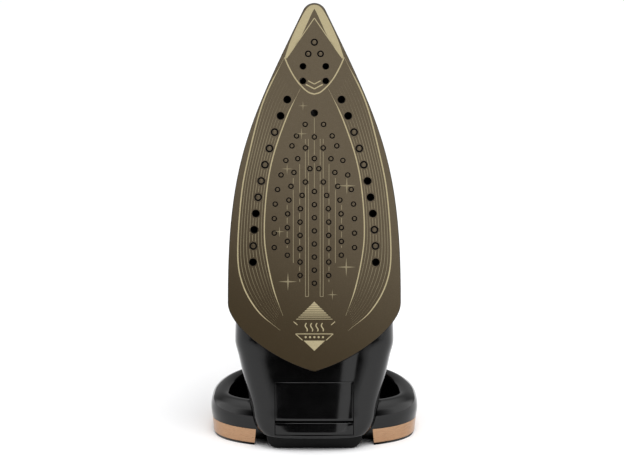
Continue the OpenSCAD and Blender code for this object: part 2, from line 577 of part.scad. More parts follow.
slider_u = 152;
slider_l = 22;
slider_base = tank_h + 1.4;
module slider_track() color("#101010") stand() meshed() difference() {
    plate(tank_h - 6, slider_base) translate([0, slider_u])
        rounded(slider_l + slider_travel + 6, 13, 5);
    tank_outer(gap);
    upright(slider_u, tank_h - 10) cylinder(r = 2.3, h = 20, $fn = 20);
}
rod_top = slider_base + 1.4;
module steam_slider() color("#b87f52") stand() translate([-slider_travel / 2, 0, slider_u])
    translate([0, 0, -4]) linear_extrude(8) polygon([
        [-slider_l / 2, slider_base + gap], [-slider_travel / 2 - 2.4, slider_base + gap],
        [-slider_travel / 2 - 2.4, rod_top + valve_lift + 0.5], [-slider_travel / 2, rod_top + valve_lift + 0.5],
        [slider_travel / 2, rod_top + 0.4], [slider_travel / 2 + 2.4, rod_top + 0.4],
        [slider_travel / 2 + 2.4, slider_base + gap], [slider_l / 2, slider_base + gap],
        [slider_l / 2, rod_top + valve_lift + 1], [3, rod_top + valve_lift + 2.2], [0, rod_top + valve_lift + 4.4],
        [-3, rod_top + valve_lift + 2.2], [-slider_l / 2, rod_top + valve_lift + 1]]);
module valve_rod() color("#c8c8c8") stand() {
    upright(slider_u, tank_h - 14) cylinder(r = 1.8, h = rod_top - tank_h + 14);
    translate([0, tank_h - 14, (slider_u + valve_u) / 2]) cube([3.6, 2.4, slider_u - valve_u + 3.6], center = true);
    upright(valve_u, skirt_h + 4.8) cylinder(r = 1.8, h = tank_h - 14 - skirt_h - 4.8);
    upright(valve_u, skirt_h + 3.6) cylinder(r1 = 0.5, r2 = 1.8, h = 1.2);
}
module valve_seat() color("#b0aca0") stand() upright(valve_u, casting_top + 1.8) difference() {
    cylinder(r = 4, h = skirt_h + 3.4 - casting_top - 1.8);
    translate([0, 0, -1]) cylinder(r = 0.9, h = 20);
}

module rear_shell() color("#101010") stand() meshed() difference() {
    rear_outer();
    rear_inner();
    plate(-2, skirt_h + 0.2) sole_outline(0.6 + seam + 0.4);
    door_block(fit);
    upright(dial_u, dial_w - 16) cylinder(r = seat_r + fit, h = 30, $fn = 48);
}
module rear_tower() color("#121212") stand() meshed() difference() {
    tower_outer();
    tower_inner();
    rear_outer(seam);
    at_gland() cylinder(r = socket_r + fit, h = 30, $fn = 32);
}
module dial_seat() color("#0d0d0d") stand() upright(dial_u, dial_w - 9) difference() {
    cylinder(r = seat_r, h = 9);
    translate([0, 0, -1]) cylinder(r = spindle_r + 0.6, h = 12);
    translate([0, 0, 7.5]) cylinder(r = dial_d / 2 + 0.8, h = 3);
    translate([0, 0, -1]) cylinder(r = seat_r - 3, h = 7);
}
module temperature_dial() color("#161616") stand() upright(dial_u, dial_w - 1.5 + gap) difference() {
    cylinder(d = dial_d, h = dial_t);
    for (i = [0 : 23]) rotate([0, 0, 15 * i]) translate([dial_d / 2 + 1.1, 0, 1.6]) cylinder(r = 1.9, h = dial_t, $fn = 20);
    translate([0, 0, -1]) cylinder(r = spindle_r, h = 5);
    translate([0, 0, dial_t - 1]) difference() {
        cylinder(r = dial_d / 2 - 4, h = 2);
        cylinder(r = dial_d / 2 - 8, h = 2);
    }
}
module dial_spindle() color("#b5b5b5") stand() {
    upright(dial_u, casting_top + 1.7 + 2.5) cylinder(r = spindle_r, h = dial_w + 2 - casting_top - 4.2);
}

module collector_door() color("#121212") stand() meshed() {
    intersection() {
        difference() {
            rear_outer();
            translate([-60, face_w + 2.4 + door_t, -80]) cube([120, 80, 120]);
        }
        door_block(0);
    }
}
cup_w = collector_w - 14;
cup_l = collector_l - 5;
cup_face = face_w + 2.4 + door_t + gap;
module collector_cup() color("#8f8a80") stand() translate([0, cup_face, door_top - 3 - cup_l]) difference() {
    translate([-cup_w / 2, 0, 0]) cube([cup_w, cup_depth, cup_l]);
    translate([1.6 - cup_w / 2, 1.6, 1.6]) cube([cup_w - 3.2, cup_depth - 3.2, cup_l]);
}
module collector_seal() color("#a8442c") stand() translate([0, cup_face, door_top - 3 + gap]) difference() {
    translate([-cup_w / 2 + 0.2, 0.2, 0]) cube([cup_w - 0.4, cup_depth - 0.4, 0.8]);
    translate([1.6 - cup_w / 2, 1.6, -1]) cube([cup_w - 3.2, cup_depth - 3.2, 4]);
}

gland_cut = sqrt(pow(ball_d / 2 + fit, 2) - pow(gland_open_r, 2));
axle_r = 2.2;
axle_l = ball_d + 4.4;
module gland_axle(grow) rotate([0, 90, 0]) cylinder(r = axle_r + grow, h = axle_l + 8 * grow, center = true);
module gland_socket() color("#141414") stand() at_gland() difference() {
    translate([0, 0, -5]) cylinder(r = socket_r, h = 5 + gland_cut);
    sphere(r = ball_d / 2 + fit);
    gland_axle(run);
}
module cord_gland() color("#1c1c1c") stand() at_gland() difference() {
    union() {
        sphere(d = ball_d);
        cylinder(r = cord_bore_d / 2 + 1.1, h = gland_nose);
        gland_axle(0);
    }
    translate([0, 0, -ball_d]) cylinder(d = cord_bore_d, h = 2 * ball_d);
}

module heel_stand() color("#131313") meshed() difference() {
    on_floor() heel_rings(heel_profile);
    on_floor() notch();
    stand() rear_outer(fit);
    stand() tower_outer(fit);
    on_floor() for (p = screw_spots) translate([p[0], p[1], -1]) cylinder(d = 6.4, h = 4, $fn = 24);
}
band_top = band_low + band_h;
module heel_band(s) on_floor() meshed() difference() {
    heel_rings([[1.9, 0, 0, band_low + gap], [0.9, 0, 0, band_top - gap]]);
    heel_rings([[1.9 + band_t + 0.1, 0, 0, band_low - 0.1], [0.9 + band_t, 0, 0, band_top + 0.1]]);
    notch();
    translate([s > 0 ? -200 : -0.2, -50, -10]) cube([200.2, 300, 60]);
}
module heel_band_left() color("#b87f52") heel_band(-1);
module heel_band_right() color("#b87f52") heel_band(1);
foot_d = notch_d - gap;
module heel_foot() color("#080808") on_floor() translate([0, foot_d, 0]) rotate([90, 0, 0]) linear_extrude(foot_d)
    intersection() {
        translate([-foot_w / 2, 0]) square([foot_w, base_z - 0.2]);
        translate([0, 16]) rounded(foot_w, 32, 8);
    }
module heel_screws() color("#8c8c8c") on_floor() for (p = screw_spots) translate([p[0], p[1], 1]) difference() {
    cylinder(d = 6, h = 1.8);
    for (a = [0, 90]) rotate([0, 0, a]) cube([4, 0.8, 1.4], center = true);
}

soleplate();
heater_casting();
heating_element();
chamber_cover();
thermostat();
thermal_fuse();
terminal_block();
scale_duct();
skirt();
skirt_screws();
water_tank();
tank_gasket();
tank_end();
fill_collar();
fill_door();
fill_door_pin();
neck_shell();
head_housing();
button_bezel();
boost_button();
spray_button();
boost_piston();
spray_piston();
boost_spring();
spray_spring();
boost_pump();
spray_pump();
spray_tube();
spray_nozzle();
handle_upper();
handle_lower();
handle_trim();
pilot_lens();
control_board();
slider_track();
steam_slider();
valve_rod();
valve_seat();
rear_shell();
rear_tower();
dial_seat();
temperature_dial();
dial_spindle();
collector_door();
collector_cup();
collector_seal();
gland_socket();
cord_gland();
heel_stand();
heel_band_left();
heel_band_right();
heel_foot();
heel_screws();
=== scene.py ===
"""Looks of a steam iron that stands on its heel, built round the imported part.

Sizes are millimetres in the iron's own frame: x across, y away from the sole face, z from the heel
towards the tip. The heel stand's are in the floor's frame. A piece is put in its place, in metres, when
its mesh is finished.
"""

import logging
import math
from dataclasses import dataclass, field
from enum import Enum
from typing import Callable, Iterable, Sequence

import bmesh
import bpy
from bmesh.types import BMesh
from mathutils import Matrix, Vector

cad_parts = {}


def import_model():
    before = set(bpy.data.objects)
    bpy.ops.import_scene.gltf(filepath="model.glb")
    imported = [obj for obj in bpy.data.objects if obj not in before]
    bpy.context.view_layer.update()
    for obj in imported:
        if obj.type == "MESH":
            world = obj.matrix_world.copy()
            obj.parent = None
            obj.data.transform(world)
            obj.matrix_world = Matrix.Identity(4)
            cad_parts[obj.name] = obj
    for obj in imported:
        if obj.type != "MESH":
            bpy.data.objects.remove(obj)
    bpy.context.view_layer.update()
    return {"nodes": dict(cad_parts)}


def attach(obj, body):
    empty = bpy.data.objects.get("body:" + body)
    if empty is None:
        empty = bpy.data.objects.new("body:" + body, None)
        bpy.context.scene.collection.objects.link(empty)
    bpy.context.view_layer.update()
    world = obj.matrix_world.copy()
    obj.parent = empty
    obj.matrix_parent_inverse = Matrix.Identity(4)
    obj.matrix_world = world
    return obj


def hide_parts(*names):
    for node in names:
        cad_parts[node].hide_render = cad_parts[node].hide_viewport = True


LOG = logging.getLogger("steam_iron")
Ring = list[Vector]
RingMaker = Callable[[float, float], Ring]
Colour = tuple[float, float, float]

LEAN = math.radians(10)
DEPTH_SHIFT = 86.0
SOLE_LIFT = 58.6
FOOT_FRONT = 9.7
MM = Matrix.Scale(0.001, 4)
STANDING = MM @ Matrix.Translation((0, -DEPTH_SHIFT, SOLE_LIFT)) @ Matrix.Rotation(-LEAN, 4, "X")
ON_FLOOR = MM @ Matrix.Translation((0, FOOT_FRONT - DEPTH_SHIFT, 0))
SOLE_FACE = Matrix.Rotation(math.radians(90), 4, "X")
SEAM = 0.3


# ---------------------------------------------------------------- finishes
class Texture(Enum):
    """What breaks up a finish's colour, gloss and surface."""

    PEEL = "peel"
    GRAIN = "grain"
    BRUSHED = "brushed"
    SPECKLE = "speckle"
    CAST = "cast"


@dataclass(frozen=True)
class Finish:
    """One material: its slot in the record, colours, gloss and texture.

    Attributes:
        name: Name of the material.
        slot: Slot of the record that the finish belongs to; not used.
        colour: Base colour, linear.
        second: Colour that the texture brings in, linear.
        rough: Roughness where the texture is low.
        rough_more: Roughness that the texture adds.
        metal: Metallic share.
        texture: Kind of texture.
        size: Feature size of the texture in millimetres.
        relief: Height of the texture's bump in millimetres.
        coat: Weight of a clear coat.
        clear: Weight of transmission.
        glow: Strength of emission.
        shine: Strength of the surface's reflection.
        fade: Painted shade: direction, its start and end along it in metres, and the shading colour that
            multiplies the base colour at the start, or None.
    """

    name: str
    slot: str
    colour: Colour
    second: Colour
    rough: float
    rough_more: float = 0.05
    metal: float = 0.0
    texture: Texture = Texture.GRAIN
    size: float = 0.4
    relief: float = 0.01
    coat: float = 0.0
    clear: float = 0.0
    glow: float = 0.0
    shine: float = 0.5
    fade: tuple[Colour, float, float, Colour] | None = None

    def material(self) -> bpy.types.Material:
        """Makes the material the first time, and returns it."""
        known = bpy.data.materials.get(self.name)
        if known:
            return known
        made = bpy.data.materials.new(self.name)
        made.use_nodes = True
        tree = made.node_tree
        shader = tree.nodes["Principled BSDF"]
        shader.inputs["Metallic"].default_value = self.metal
        shader.inputs["Coat Weight"].default_value = self.coat
        shader.inputs["Coat Roughness"].default_value = 0.06
        shader.inputs["Specular IOR Level"].default_value = self.shine
        shader.inputs["Transmission Weight"].default_value = self.clear
        if self.glow:
            shader.inputs["Emission Color"].default_value = (*self.second, 1)
            shader.inputs["Emission Strength"].default_value = self.glow
        made.diffuse_color = (*self.colour, 1)
        pattern = self._pattern(tree)
        blend = tree.nodes.new("ShaderNodeMix")
        blend.data_type = "RGBA"
        blend.inputs[6].default_value = (*self.colour, 1)
        blend.inputs[7].default_value = (*self.second, 1)
        tree.links.new(pattern, blend.inputs[0])
        # The base colour gets the painted shade of the fade, if the finish has one.
        tree.links.new(self._painted_shade(tree, blend.outputs[2]), shader.inputs["Base Color"])
        gloss = tree.nodes.new("ShaderNodeMapRange")
        gloss.inputs["To Min"].default_value = self.rough
        gloss.inputs["To Max"].default_value = self.rough + self.rough_more
        tree.links.new(pattern, gloss.inputs["Value"])
        tree.links.new(gloss.outputs["Result"], shader.inputs["Roughness"])
        bump = tree.nodes.new("ShaderNodeBump")
        bump.inputs["Strength"].default_value = 0.6
        bump.inputs["Distance"].default_value = self.relief * 0.001
        tree.links.new(pattern, bump.inputs["Height"])
        tree.links.new(bump.outputs["Normal"], shader.inputs["Normal"])
        return made

    def _painted_shade(self, tree: bpy.types.NodeTree, colour: bpy.types.NodeSocket) -> bpy.types.NodeSocket:
        """Paints shade onto a colour at one end of the fade, if the finish has one.

        Args:
            tree: Node tree of the material.
            colour: Socket of the colour.

        Returns:
            The socket of the colour with the painted shade.
        """
        if not self.fade:
            return colour
        way, start, end, shade_tint = self.fade
        where, along = tree.nodes.new("ShaderNodeTexCoord"), tree.nodes.new("ShaderNodeVectorMath")
        along.operation = "DOT_PRODUCT"
        along.inputs[1].default_value = way
        tree.links.new(where.outputs["Object"], along.inputs[0])
        share = tree.nodes.new("ShaderNodeMapRange")
        share.interpolation_type = "SMOOTHSTEP"
        share.inputs["From Min"].default_value, share.inputs["From Max"].default_value = start, end
        tree.links.new(along.outputs["Value"], share.inputs["Value"])
        shade_mix, out = tree.nodes.new("ShaderNodeMix"), tree.nodes.new("ShaderNodeMix")
        shade_mix.data_type = out.data_type = "RGBA"
        shade_mix.inputs[6].default_value, shade_mix.inputs[7].default_value = (*shade_tint, 1), (1, 1, 1, 1)
        tree.links.new(share.outputs["Result"], shade_mix.inputs[0])
        out.blend_type = "MULTIPLY"
        out.inputs[0].default_value = 1.0
        tree.links.new(colour, out.inputs[6])
        tree.links.new(shade_mix.outputs[2], out.inputs[7])
        return out.outputs[2]

    def _pattern(self, tree: bpy.types.NodeTree) -> bpy.types.NodeSocket:
        """Adds the texture's nodes.

        Args:
            tree: Node tree of the material.

        Returns:
            The socket that carries the texture, from 0 to 1.
        """
        where = tree.nodes.new("ShaderNodeTexCoord")
        place = tree.nodes.new("ShaderNodeMapping")
        tree.links.new(where.outputs["Object"], place.inputs["Vector"])
        if self.texture is Texture.BRUSHED:
            place.inputs["Scale"].default_value = (0.06, 0.06, 1)
        if self.texture is Texture.SPECKLE:
            source = tree.nodes.new("ShaderNodeTexVoronoi")
            tree.links.new(place.outputs["Vector"], source.inputs["Vector"])
            source.inputs["Scale"].default_value = 1000 / self.size
            low, high, out = 0.15, 0.75, source.outputs["Distance"]
        else:
            source = tree.nodes.new("ShaderNodeTexNoise")
            tree.links.new(place.outputs["Vector"], source.inputs["Vector"])
            source.inputs["Scale"].default_value = 1000 / self.size
            source.inputs["Detail"].default_value = 6 if self.texture is Texture.CAST else 2
            source.inputs["Roughness"].default_value = 0.6
            low, high, out = 0.3, 0.7, source.outputs["Fac"]
        spread = tree.nodes.new("ShaderNodeMapRange")
        spread.inputs["From Min"].default_value = low
        spread.inputs["From Max"].default_value = high
        tree.links.new(out, spread.inputs["Value"])
        return spread.outputs["Result"]


# Painted shade on the sole: the coating is darker and browner towards the heel end and a little towards -x,
# reaching its full colour higher up.
SOLE_PAINTED_SHADE = ((0.5, 0.0, 1.0), 0.05, 0.21, (0.36, 0.3, 0.18))
BRONZE_COATING = Finish(
    "bronze_coating", "sole_coating", (0.088, 0.068, 0.041), (0.108, 0.085, 0.054),
    rough=0.4, rough_more=0.1, metal=0.35, texture=Texture.SPECKLE, size=0.5, relief=0.002, shine=0.25,
    fade=SOLE_PAINTED_SHADE)
GOLD_PRINT = Finish(
    "gold_print", "copper_trim", (0.36, 0.3, 0.17), (0.43, 0.37, 0.22),
    rough=0.4, rough_more=0.1, metal=0.3, texture=Texture.GRAIN, size=0.6, relief=0.002)
PALE_GOLD = Finish(
    "pale_gold_print", "copper_trim", (0.2, 0.165, 0.095), (0.25, 0.21, 0.125),
    rough=0.4, rough_more=0.1, metal=0.3, texture=Texture.GRAIN, size=0.6, relief=0.002)
PIANO_BLACK = Finish(
    "piano_black", "gloss_black", (0.0015, 0.0015, 0.0016), (0.002, 0.002, 0.0021),
    rough=0.07, rough_more=0.035, texture=Texture.PEEL, size=9.0, relief=0.004, shine=0.36)
DEEP_BLACK = Finish(
    "deep_black", "satin_black", (0.002, 0.002, 0.002), (0.004, 0.004, 0.004),
    rough=0.42, rough_more=0.12, texture=Texture.GRAIN, size=0.35, relief=0.02, shine=0.15)
SATIN_BLACK = Finish(
    "satin_black", "satin_black", (0.008, 0.008, 0.0085), (0.014, 0.014, 0.015),
    rough=0.34, rough_more=0.1, texture=Texture.GRAIN, size=0.35, relief=0.02)
SOFT_TOUCH = Finish(
    "soft_touch", "soft_grip", (0.011, 0.011, 0.012), (0.02, 0.02, 0.021),
    rough=0.62, rough_more=0.14, texture=Texture.GRAIN, size=0.3, relief=0.04)
COPPER = Finish(
    "brushed_copper", "copper_trim", (0.4, 0.235, 0.135), (0.47, 0.29, 0.175),
    rough=0.24, rough_more=0.12, metal=1.0, texture=Texture.BRUSHED, size=0.35, relief=0.003)
SMOKED = Finish(
    "smoked_clear", "smoked_tank", (0.16, 0.135, 0.115), (0.19, 0.16, 0.135),
    rough=0.05, rough_more=0.03, texture=Texture.PEEL, size=14.0, relief=0.003, clear=0.8)
CAST_METAL = Finish(
    "cast_metal", "cast_aluminium", (0.2, 0.19, 0.18), (0.34, 0.33, 0.31),
    rough=0.5, rough_more=0.2, metal=0.9, texture=Texture.CAST, size=1.4, relief=0.06)
# Painted shade: the heater casting is near black so that the open steam outlets, which look onto it, read as
# dark holes.
SHADE_BLACK_CAST = Finish(
    "shade_black_casting", "cast_aluminium", (0.004, 0.0035, 0.003), (0.012, 0.01, 0.008),
    rough=0.6, rough_more=0.2, metal=0.2, texture=Texture.CAST, size=1.4, relief=0.06, shine=0.2)
STEEL = Finish(
    "drawn_steel", "steel", (0.46, 0.46, 0.47), (0.6, 0.6, 0.6),
    rough=0.22, rough_more=0.14, metal=1.0, texture=Texture.BRUSHED, size=0.2, relief=0.003)
CERAMIC = Finish(
    "glazed_ceramic", "ceramic", (0.66, 0.63, 0.55), (0.76, 0.73, 0.66),
    rough=0.28, rough_more=0.1, texture=Texture.GRAIN, size=1.2, relief=0.01)
BRASS = Finish(
    "turned_brass", "brass", (0.55, 0.4, 0.16), (0.68, 0.52, 0.24),
    rough=0.25, rough_more=0.12, metal=1.0, texture=Texture.BRUSHED, size=0.25, relief=0.003)
MILK_PLASTIC = Finish(
    "milk_plastic", "white_plastic", (0.55, 0.54, 0.5), (0.63, 0.62, 0.58),
    rough=0.38, rough_more=0.1, texture=Texture.GRAIN, size=0.8, relief=0.008)
TRAY_GREY = Finish(
    "tray_grey", "collector_tray", (0.11, 0.105, 0.095), (0.15, 0.145, 0.13),
    rough=0.45, rough_more=0.12, texture=Texture.GRAIN, size=0.5, relief=0.02)
RED_SILICONE = Finish(
    "red_silicone", "silicone", (0.36, 0.06, 0.03), (0.44, 0.09, 0.05),
    rough=0.55, rough_more=0.12, texture=Texture.GRAIN, size=0.5, relief=0.01)
BOARD_GREEN = Finish(
    "board_green", "board", (0.02, 0.13, 0.045), (0.03, 0.17, 0.06),
    rough=0.35, rough_more=0.1, texture=Texture.GRAIN, size=0.8, relief=0.006)
AMBER = Finish(
    "amber_lens", "lens", (0.75, 0.2, 0.03), (0.85, 0.28, 0.05),
    rough=0.12, rough_more=0.06, texture=Texture.PEEL, size=3.0, relief=0.004, clear=0.35, glow=0.15)
GLAND_RUBBER = Finish(
    "gland_rubber", "gland_rubber", (0.01, 0.01, 0.01), (0.018, 0.018, 0.018),
    rough=0.55, rough_more=0.15, texture=Texture.GRAIN, size=0.3, relief=0.03)


# ---------------------------------------------------------------- mesh workshop
def mix(a: float, b: float, t: float) -> float:
    """Returns the value a share t of the way from a to b."""
    return a + (b - a) * t


def ease(t: float) -> float:
    """Returns a smooth step from 0 to 1."""
    c = min(1.0, max(0.0, t))
    return c * c * (3 - 2 * c)


def smooth_row(table: Sequence[Sequence[float]], t: float) -> list[float]:
    """Reads a table along a smooth curve through its rows.

    Args:
        table: Rows of a rising key followed by values.
        t: Key to read at, held inside the table.

    Returns:
        The values at that key.
    """
    keys = [row[0] for row in table]
    t = min(keys[-1], max(keys[0], t))
    i = max(0, min(len(keys) - 2, next((n for n, k in enumerate(keys) if k > t), len(keys)) - 1))
    span = keys[i + 1] - keys[i]
    s = (t - keys[i]) / span

    def slope(j: int, c: int) -> float:
        """Slope of column c at row j, flat at a peak."""
        if j == 0 or j == len(keys) - 1:
            a = max(0, j - 1)
            return (table[a + 1][c] - table[a][c]) / (keys[a + 1] - keys[a])
        before, after = keys[j] - keys[j - 1], keys[j + 1] - keys[j]
        low, high = (table[j][c] - table[j - 1][c]) / before, (table[j + 1][c] - table[j][c]) / after
        return 0.0 if low * high <= 0 else (low * after + high * before) / (before + after)

    out = []
    for c in range(1, len(table[0])):
        a, b = table[i][c], table[i + 1][c]
        out.append((2 * s**3 - 3 * s**2 + 1) * a + (s**3 - 2 * s**2 + s) * span * slope(i, c)
                   + (3 * s**2 - 2 * s**3) * b + (s**3 - s**2) * span * slope(i + 1, c))
    return out


def bezier(points: Sequence[tuple[float, float]], count: int) -> list[tuple[float, float]]:
    """Returns count + 1 points of a cubic curve given by its four points."""
    out = []
    for n in range(count + 1):
        t = n / count
        weights = ((1 - t) ** 3, 3 * (1 - t) ** 2 * t, 3 * (1 - t) * t * t, t**3)
        x, y = (sum(w * p[axis] for w, p in zip(weights, points)) for axis in (0, 1))
        out.append((x, y))
    return out


def polar(radius: float, degrees: float) -> tuple[float, float]:
    """Returns the point at a radius and an angle."""
    return radius * math.cos(math.radians(degrees)), radius * math.sin(math.radians(degrees))


def squircle(angle: float, squareness: float) -> tuple[float, float]:
    """Returns the point of a unit superellipse in the direction of an angle."""
    c, s = math.cos(angle), math.sin(angle)
    k = (abs(c) ** squareness + abs(s) ** squareness) ** (-1 / squareness)
    return k * c, k * s


def section(u: float, half: float, low: float, high: float, squareness: float, slope: float = 0.0,
            floor: float = -1e3, count: int = 112) -> Ring:
    """Makes a ring across the body.

    Args:
        u: Length position of the ring.
        half: Half of its width.
        low: Lowest point, away from the sole face.
        high: Highest point.
        squareness: Exponent of the superellipse.
        slope: How much its length position rises with height.
        floor: Height below which the ring is flat.
        count: Number of points.

    Returns:
        The ring's points.
    """
    ring = []
    for n in range(count):
        x, y = squircle(2 * math.pi * n / count, squareness)
        w = (low + high) / 2 + (high - low) / 2 * y
        ring.append(Vector((half * x, max(w, floor), u + slope * w)))
    return ring


def level(w: float, half: float, back: float, front: float, squareness: float, count: int = 96) -> Ring:
    """Makes a ring parallel to the sole, from its height, half-width and two ends along the iron."""
    ring = []
    for n in range(count):
        x, y = squircle(2 * math.pi * n / count, squareness)
        ring.append(Vector((half * x, w, (back + front) / 2 - (front - back) / 2 * y)))
    return ring


def loft(rings: Sequence[Ring], closed: bool = False) -> BMesh:
    """Grows a skin through rings that have the same number of points.

    Args:
        rings: The rings, from one end to the other.
        closed: Whether the last ring joins the first, which leaves no ends to fill.

    Returns:
        The closed solid.
    """
    bm = bmesh.new()
    row = bmesh.ops.create_circle(bm, radius=1.0, segments=len(rings[0]))["verts"]
    edges = list(bm.edges)
    for vert, point in zip(row, rings[0]):
        vert.co = point
    for ring in rings[1:]:
        grown = bmesh.ops.extrude_edge_only(bm, edges=edges)["geom"]
        fresh = {g for g in grown if isinstance(g, bmesh.types.BMVert)}
        edges = [g for g in grown if isinstance(g, bmesh.types.BMEdge) and set(g.verts) <= fresh]
        row = [next(e.other_vert(v) for e in v.link_edges if e.other_vert(v) in fresh) for v in row]
        for vert, point in zip(row, ring):
            vert.co = point
    ends = [e for e in bm.edges if e.is_boundary]
    if closed:
        bmesh.ops.bridge_loops(bm, edges=ends)
    else:
        bmesh.ops.holes_fill(bm, edges=ends, sides=0)
    bmesh.ops.recalc_face_normals(bm, faces=bm.faces)
    return bm


def steps(start: float, end: float, size: float) -> list[float]:
    """Returns even positions from start to end, about size apart."""
    count = max(1, round(abs(end - start) / size))
    return [mix(start, end, n / count) for n in range(count + 1)]


def solid_rings(make: RingMaker, start: float, end: float, size: float, round_start: float = 0.0,
                round_end: float = 0.0) -> list[Ring]:
    """Makes the rings of a solid with rounded ends.

    Args:
        make: Gives the ring at a position, shrunk by an amount.
        start: Position of the first ring.
        end: Position of the last ring.
        size: Distance between rings.
        round_start: Radius at the first end.
        round_end: Radius at the last end.

    Returns:
        The rings in order.
    """
    way = math.copysign(1.0, end - start)
    rings = []
    for n in range(6 if round_start else 0):
        a = math.radians(15 * n)
        rings.append(make(start + way * round_start * (1 - math.cos(a)), round_start * (1 - math.sin(a))))
    rings += [make(u, 0) for u in steps(start + way * round_start, end - way * round_end, size)]
    for n in range(5 if round_end else -1, -1, -1):
        a = math.radians(15 * n)
        rings.append(make(end - way * round_end * (1 - math.cos(a)), round_end * (1 - math.sin(a))))
    return rings


def cup_rings(make: RingMaker, closed_end: float, open_end: float, size: float, wall: float,
              rounding: float) -> list[Ring]:
    """Makes the rings of a hollow shell with one closed end: its inside to the rim, then its outside back."""
    way = math.copysign(1.0, open_end - closed_end)
    inside = [make(u, wall) for u in steps(closed_end + way * (wall + 0.4 * rounding), open_end, size)]
    outside = solid_rings(make, open_end, closed_end, size, 0.0, rounding)
    return inside + outside


def lathe(profile: Sequence[tuple[float, float]], sides: int = 64) -> BMesh:
    """Turns a closed profile of (radius, height) about the z axis."""
    bm = bmesh.new()
    verts = [bm.verts.new((r, 0, z)) for r, z in profile]
    edges = [bm.edges.new((a, b)) for a, b in zip(verts, verts[1:] + verts[:1])
             if a.co.x > 1e-6 or b.co.x > 1e-6]
    bmesh.ops.spin(bm, geom=verts + edges, axis=(0, 0, 1), cent=(0, 0, 0), angle=2 * math.pi, steps=sides,
                   use_merge=True)
    bmesh.ops.remove_doubles(bm, verts=bm.verts, dist=1e-4)
    bmesh.ops.dissolve_degenerate(bm, edges=bm.edges, dist=1e-5)
    bmesh.ops.recalc_face_normals(bm, faces=bm.faces)
    return bm


def rounded_loop(width: float, length: float, radius: float, corner: int = 8) -> list[tuple[float, float]]:
    """Returns the points of a rectangle with rounded corners."""
    out = []
    for sx, sy, start in ((1, 1, 0), (-1, 1, 90), (-1, -1, 180), (1, -1, 270)):
        for n in range(corner + 1):
            a = math.radians(start + 90 * n / corner)
            out.append((sx * (width / 2 - radius) + radius * math.cos(a),
                        sy * (length / 2 - radius) + radius * math.sin(a)))
    return out


def rounded(bm: BMesh, edges: Sequence[bmesh.types.BMEdge], radius: float, segments: int) -> None:
    """Rounds edges of a mesh."""
    bmesh.ops.bevel(bm, geom=edges, offset=radius, offset_type="OFFSET", affect="EDGES", segments=segments,
                    profile=0.5, material=-1, clamp_overlap=True)


def prism(loop: Sequence[tuple[float, float]], low: float, high: float, top: float = 0.0,
          bottom: float = 0.0, segments: int = 3) -> BMesh:
    """Makes a prism on a flat loop, with its top and bottom edges rounded.

    Args:
        loop: The loop's points.
        low: Height of the bottom.
        high: Height of the top.
        top: Radius of the top edge.
        bottom: Radius of the bottom edge.
        segments: Facets of a rounding.

    Returns:
        The solid.
    """
    bm = loft([[Vector((x, y, z)) for x, y in loop] for z in (low, high)])
    for height, radius in ((high, top), (low, bottom)):
        if radius:
            edges = [e for e in bm.edges if all(abs(v.co.z - height) < 1e-4 for v in e.verts)]
            rounded(bm, edges, radius, segments)
    bmesh.ops.recalc_face_normals(bm, faces=bm.faces)
    return bm


def drum(radius: float, low: float, high: float, sides: int = 48) -> BMesh:
    """Makes a plain cutter for a round hole."""
    return prism([polar(radius, 360 * n / sides) for n in range(sides)], low, high)


def moved(bm: BMesh, place: Matrix) -> BMesh:
    """Moves a mesh, and returns it."""
    bmesh.ops.transform(bm, matrix=place, verts=bm.verts)
    return bm


def upright(u: float, w: float, x: float = 0.0, tip: float = 0.0) -> Matrix:
    """Returns the place of a part whose z axis points away from the sole, tipped forward by some degrees."""
    return Matrix.Translation((x, w, u)) @ Matrix.Rotation(math.radians(tip - 90), 4, "X")


def joined(parts: Iterable[BMesh]) -> BMesh:
    """Puts several meshes into one, and frees them."""
    whole = bmesh.new()
    for part in parts:
        mesh = bpy.data.meshes.new("part")
        part.to_mesh(mesh)
        part.free()
        whole.from_mesh(mesh)
        bpy.data.meshes.remove(mesh)
    return whole


def carved(solid: BMesh, cutters: Iterable[BMesh]) -> BMesh:
    """Cuts closed solids out of a closed solid.

    Args:
        solid: The solid that is cut.
        cutters: The solids that cut it.

    Returns:
        The cut solid. The inputs are freed.
    """
    holders = []
    for n, source in enumerate([solid, *cutters]):
        mesh = bpy.data.meshes.new("carving")
        bmesh.ops.recalc_face_normals(source, faces=source.faces)
        source.to_mesh(mesh)
        source.free()
        holder = bpy.data.objects.new("carving", mesh)
        bpy.context.scene.collection.objects.link(holder)
        holders.append(holder)
        if n:
            cut = holders[0].modifiers.new("cut", "BOOLEAN")
            cut.operation, cut.object, cut.solver = "DIFFERENCE", holder, "EXACT"
    ready = holders[0].evaluated_get(bpy.context.evaluated_depsgraph_get())
    mesh = bpy.data.meshes.new_from_object(ready)
    out = bmesh.new()
    out.from_mesh(mesh)
    bpy.data.meshes.remove(mesh)
    for holder in holders:
        mesh = holder.data
        bpy.data.objects.remove(holder)
        bpy.data.meshes.remove(mesh)
    bmesh.ops.dissolve_degenerate(out, edges=out.edges, dist=1e-3)
    return out


def make_piece(name: str, bm: BMesh, place: Matrix, finish: Finish, body: str = "root",
               stands_for: Sequence[str] = (), sharp: float = 35.0) -> bpy.types.Object:
    """Puts a finished mesh in its place as a piece of the iron.

    Args:
        name: Name of the piece.
        bm: Its mesh, which is freed.
        place: Where the mesh goes.
        finish: Its finish.
        body: Body that it moves with.
        stands_for: CAD nodes that it replaces.
        sharp: Angle in degrees above which an edge is sharp.

    Returns:
        The new object.
    """
    moved(bm, place)
    mesh = bpy.data.meshes.new(name)
    bm.to_mesh(mesh)
    bm.free()
    mesh.shade_smooth()
    mesh.set_sharp_from_angle(angle=math.radians(sharp))
    mesh.materials.append(finish.material())
    piece = bpy.data.objects.new(name, mesh)
    bpy.context.scene.collection.objects.link(piece)
    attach(piece, body)
    if stands_for:
        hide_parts(*stands_for)
    LOG.info("%s: %d faces on %s", name, len(mesh.polygons), body)
    return piece


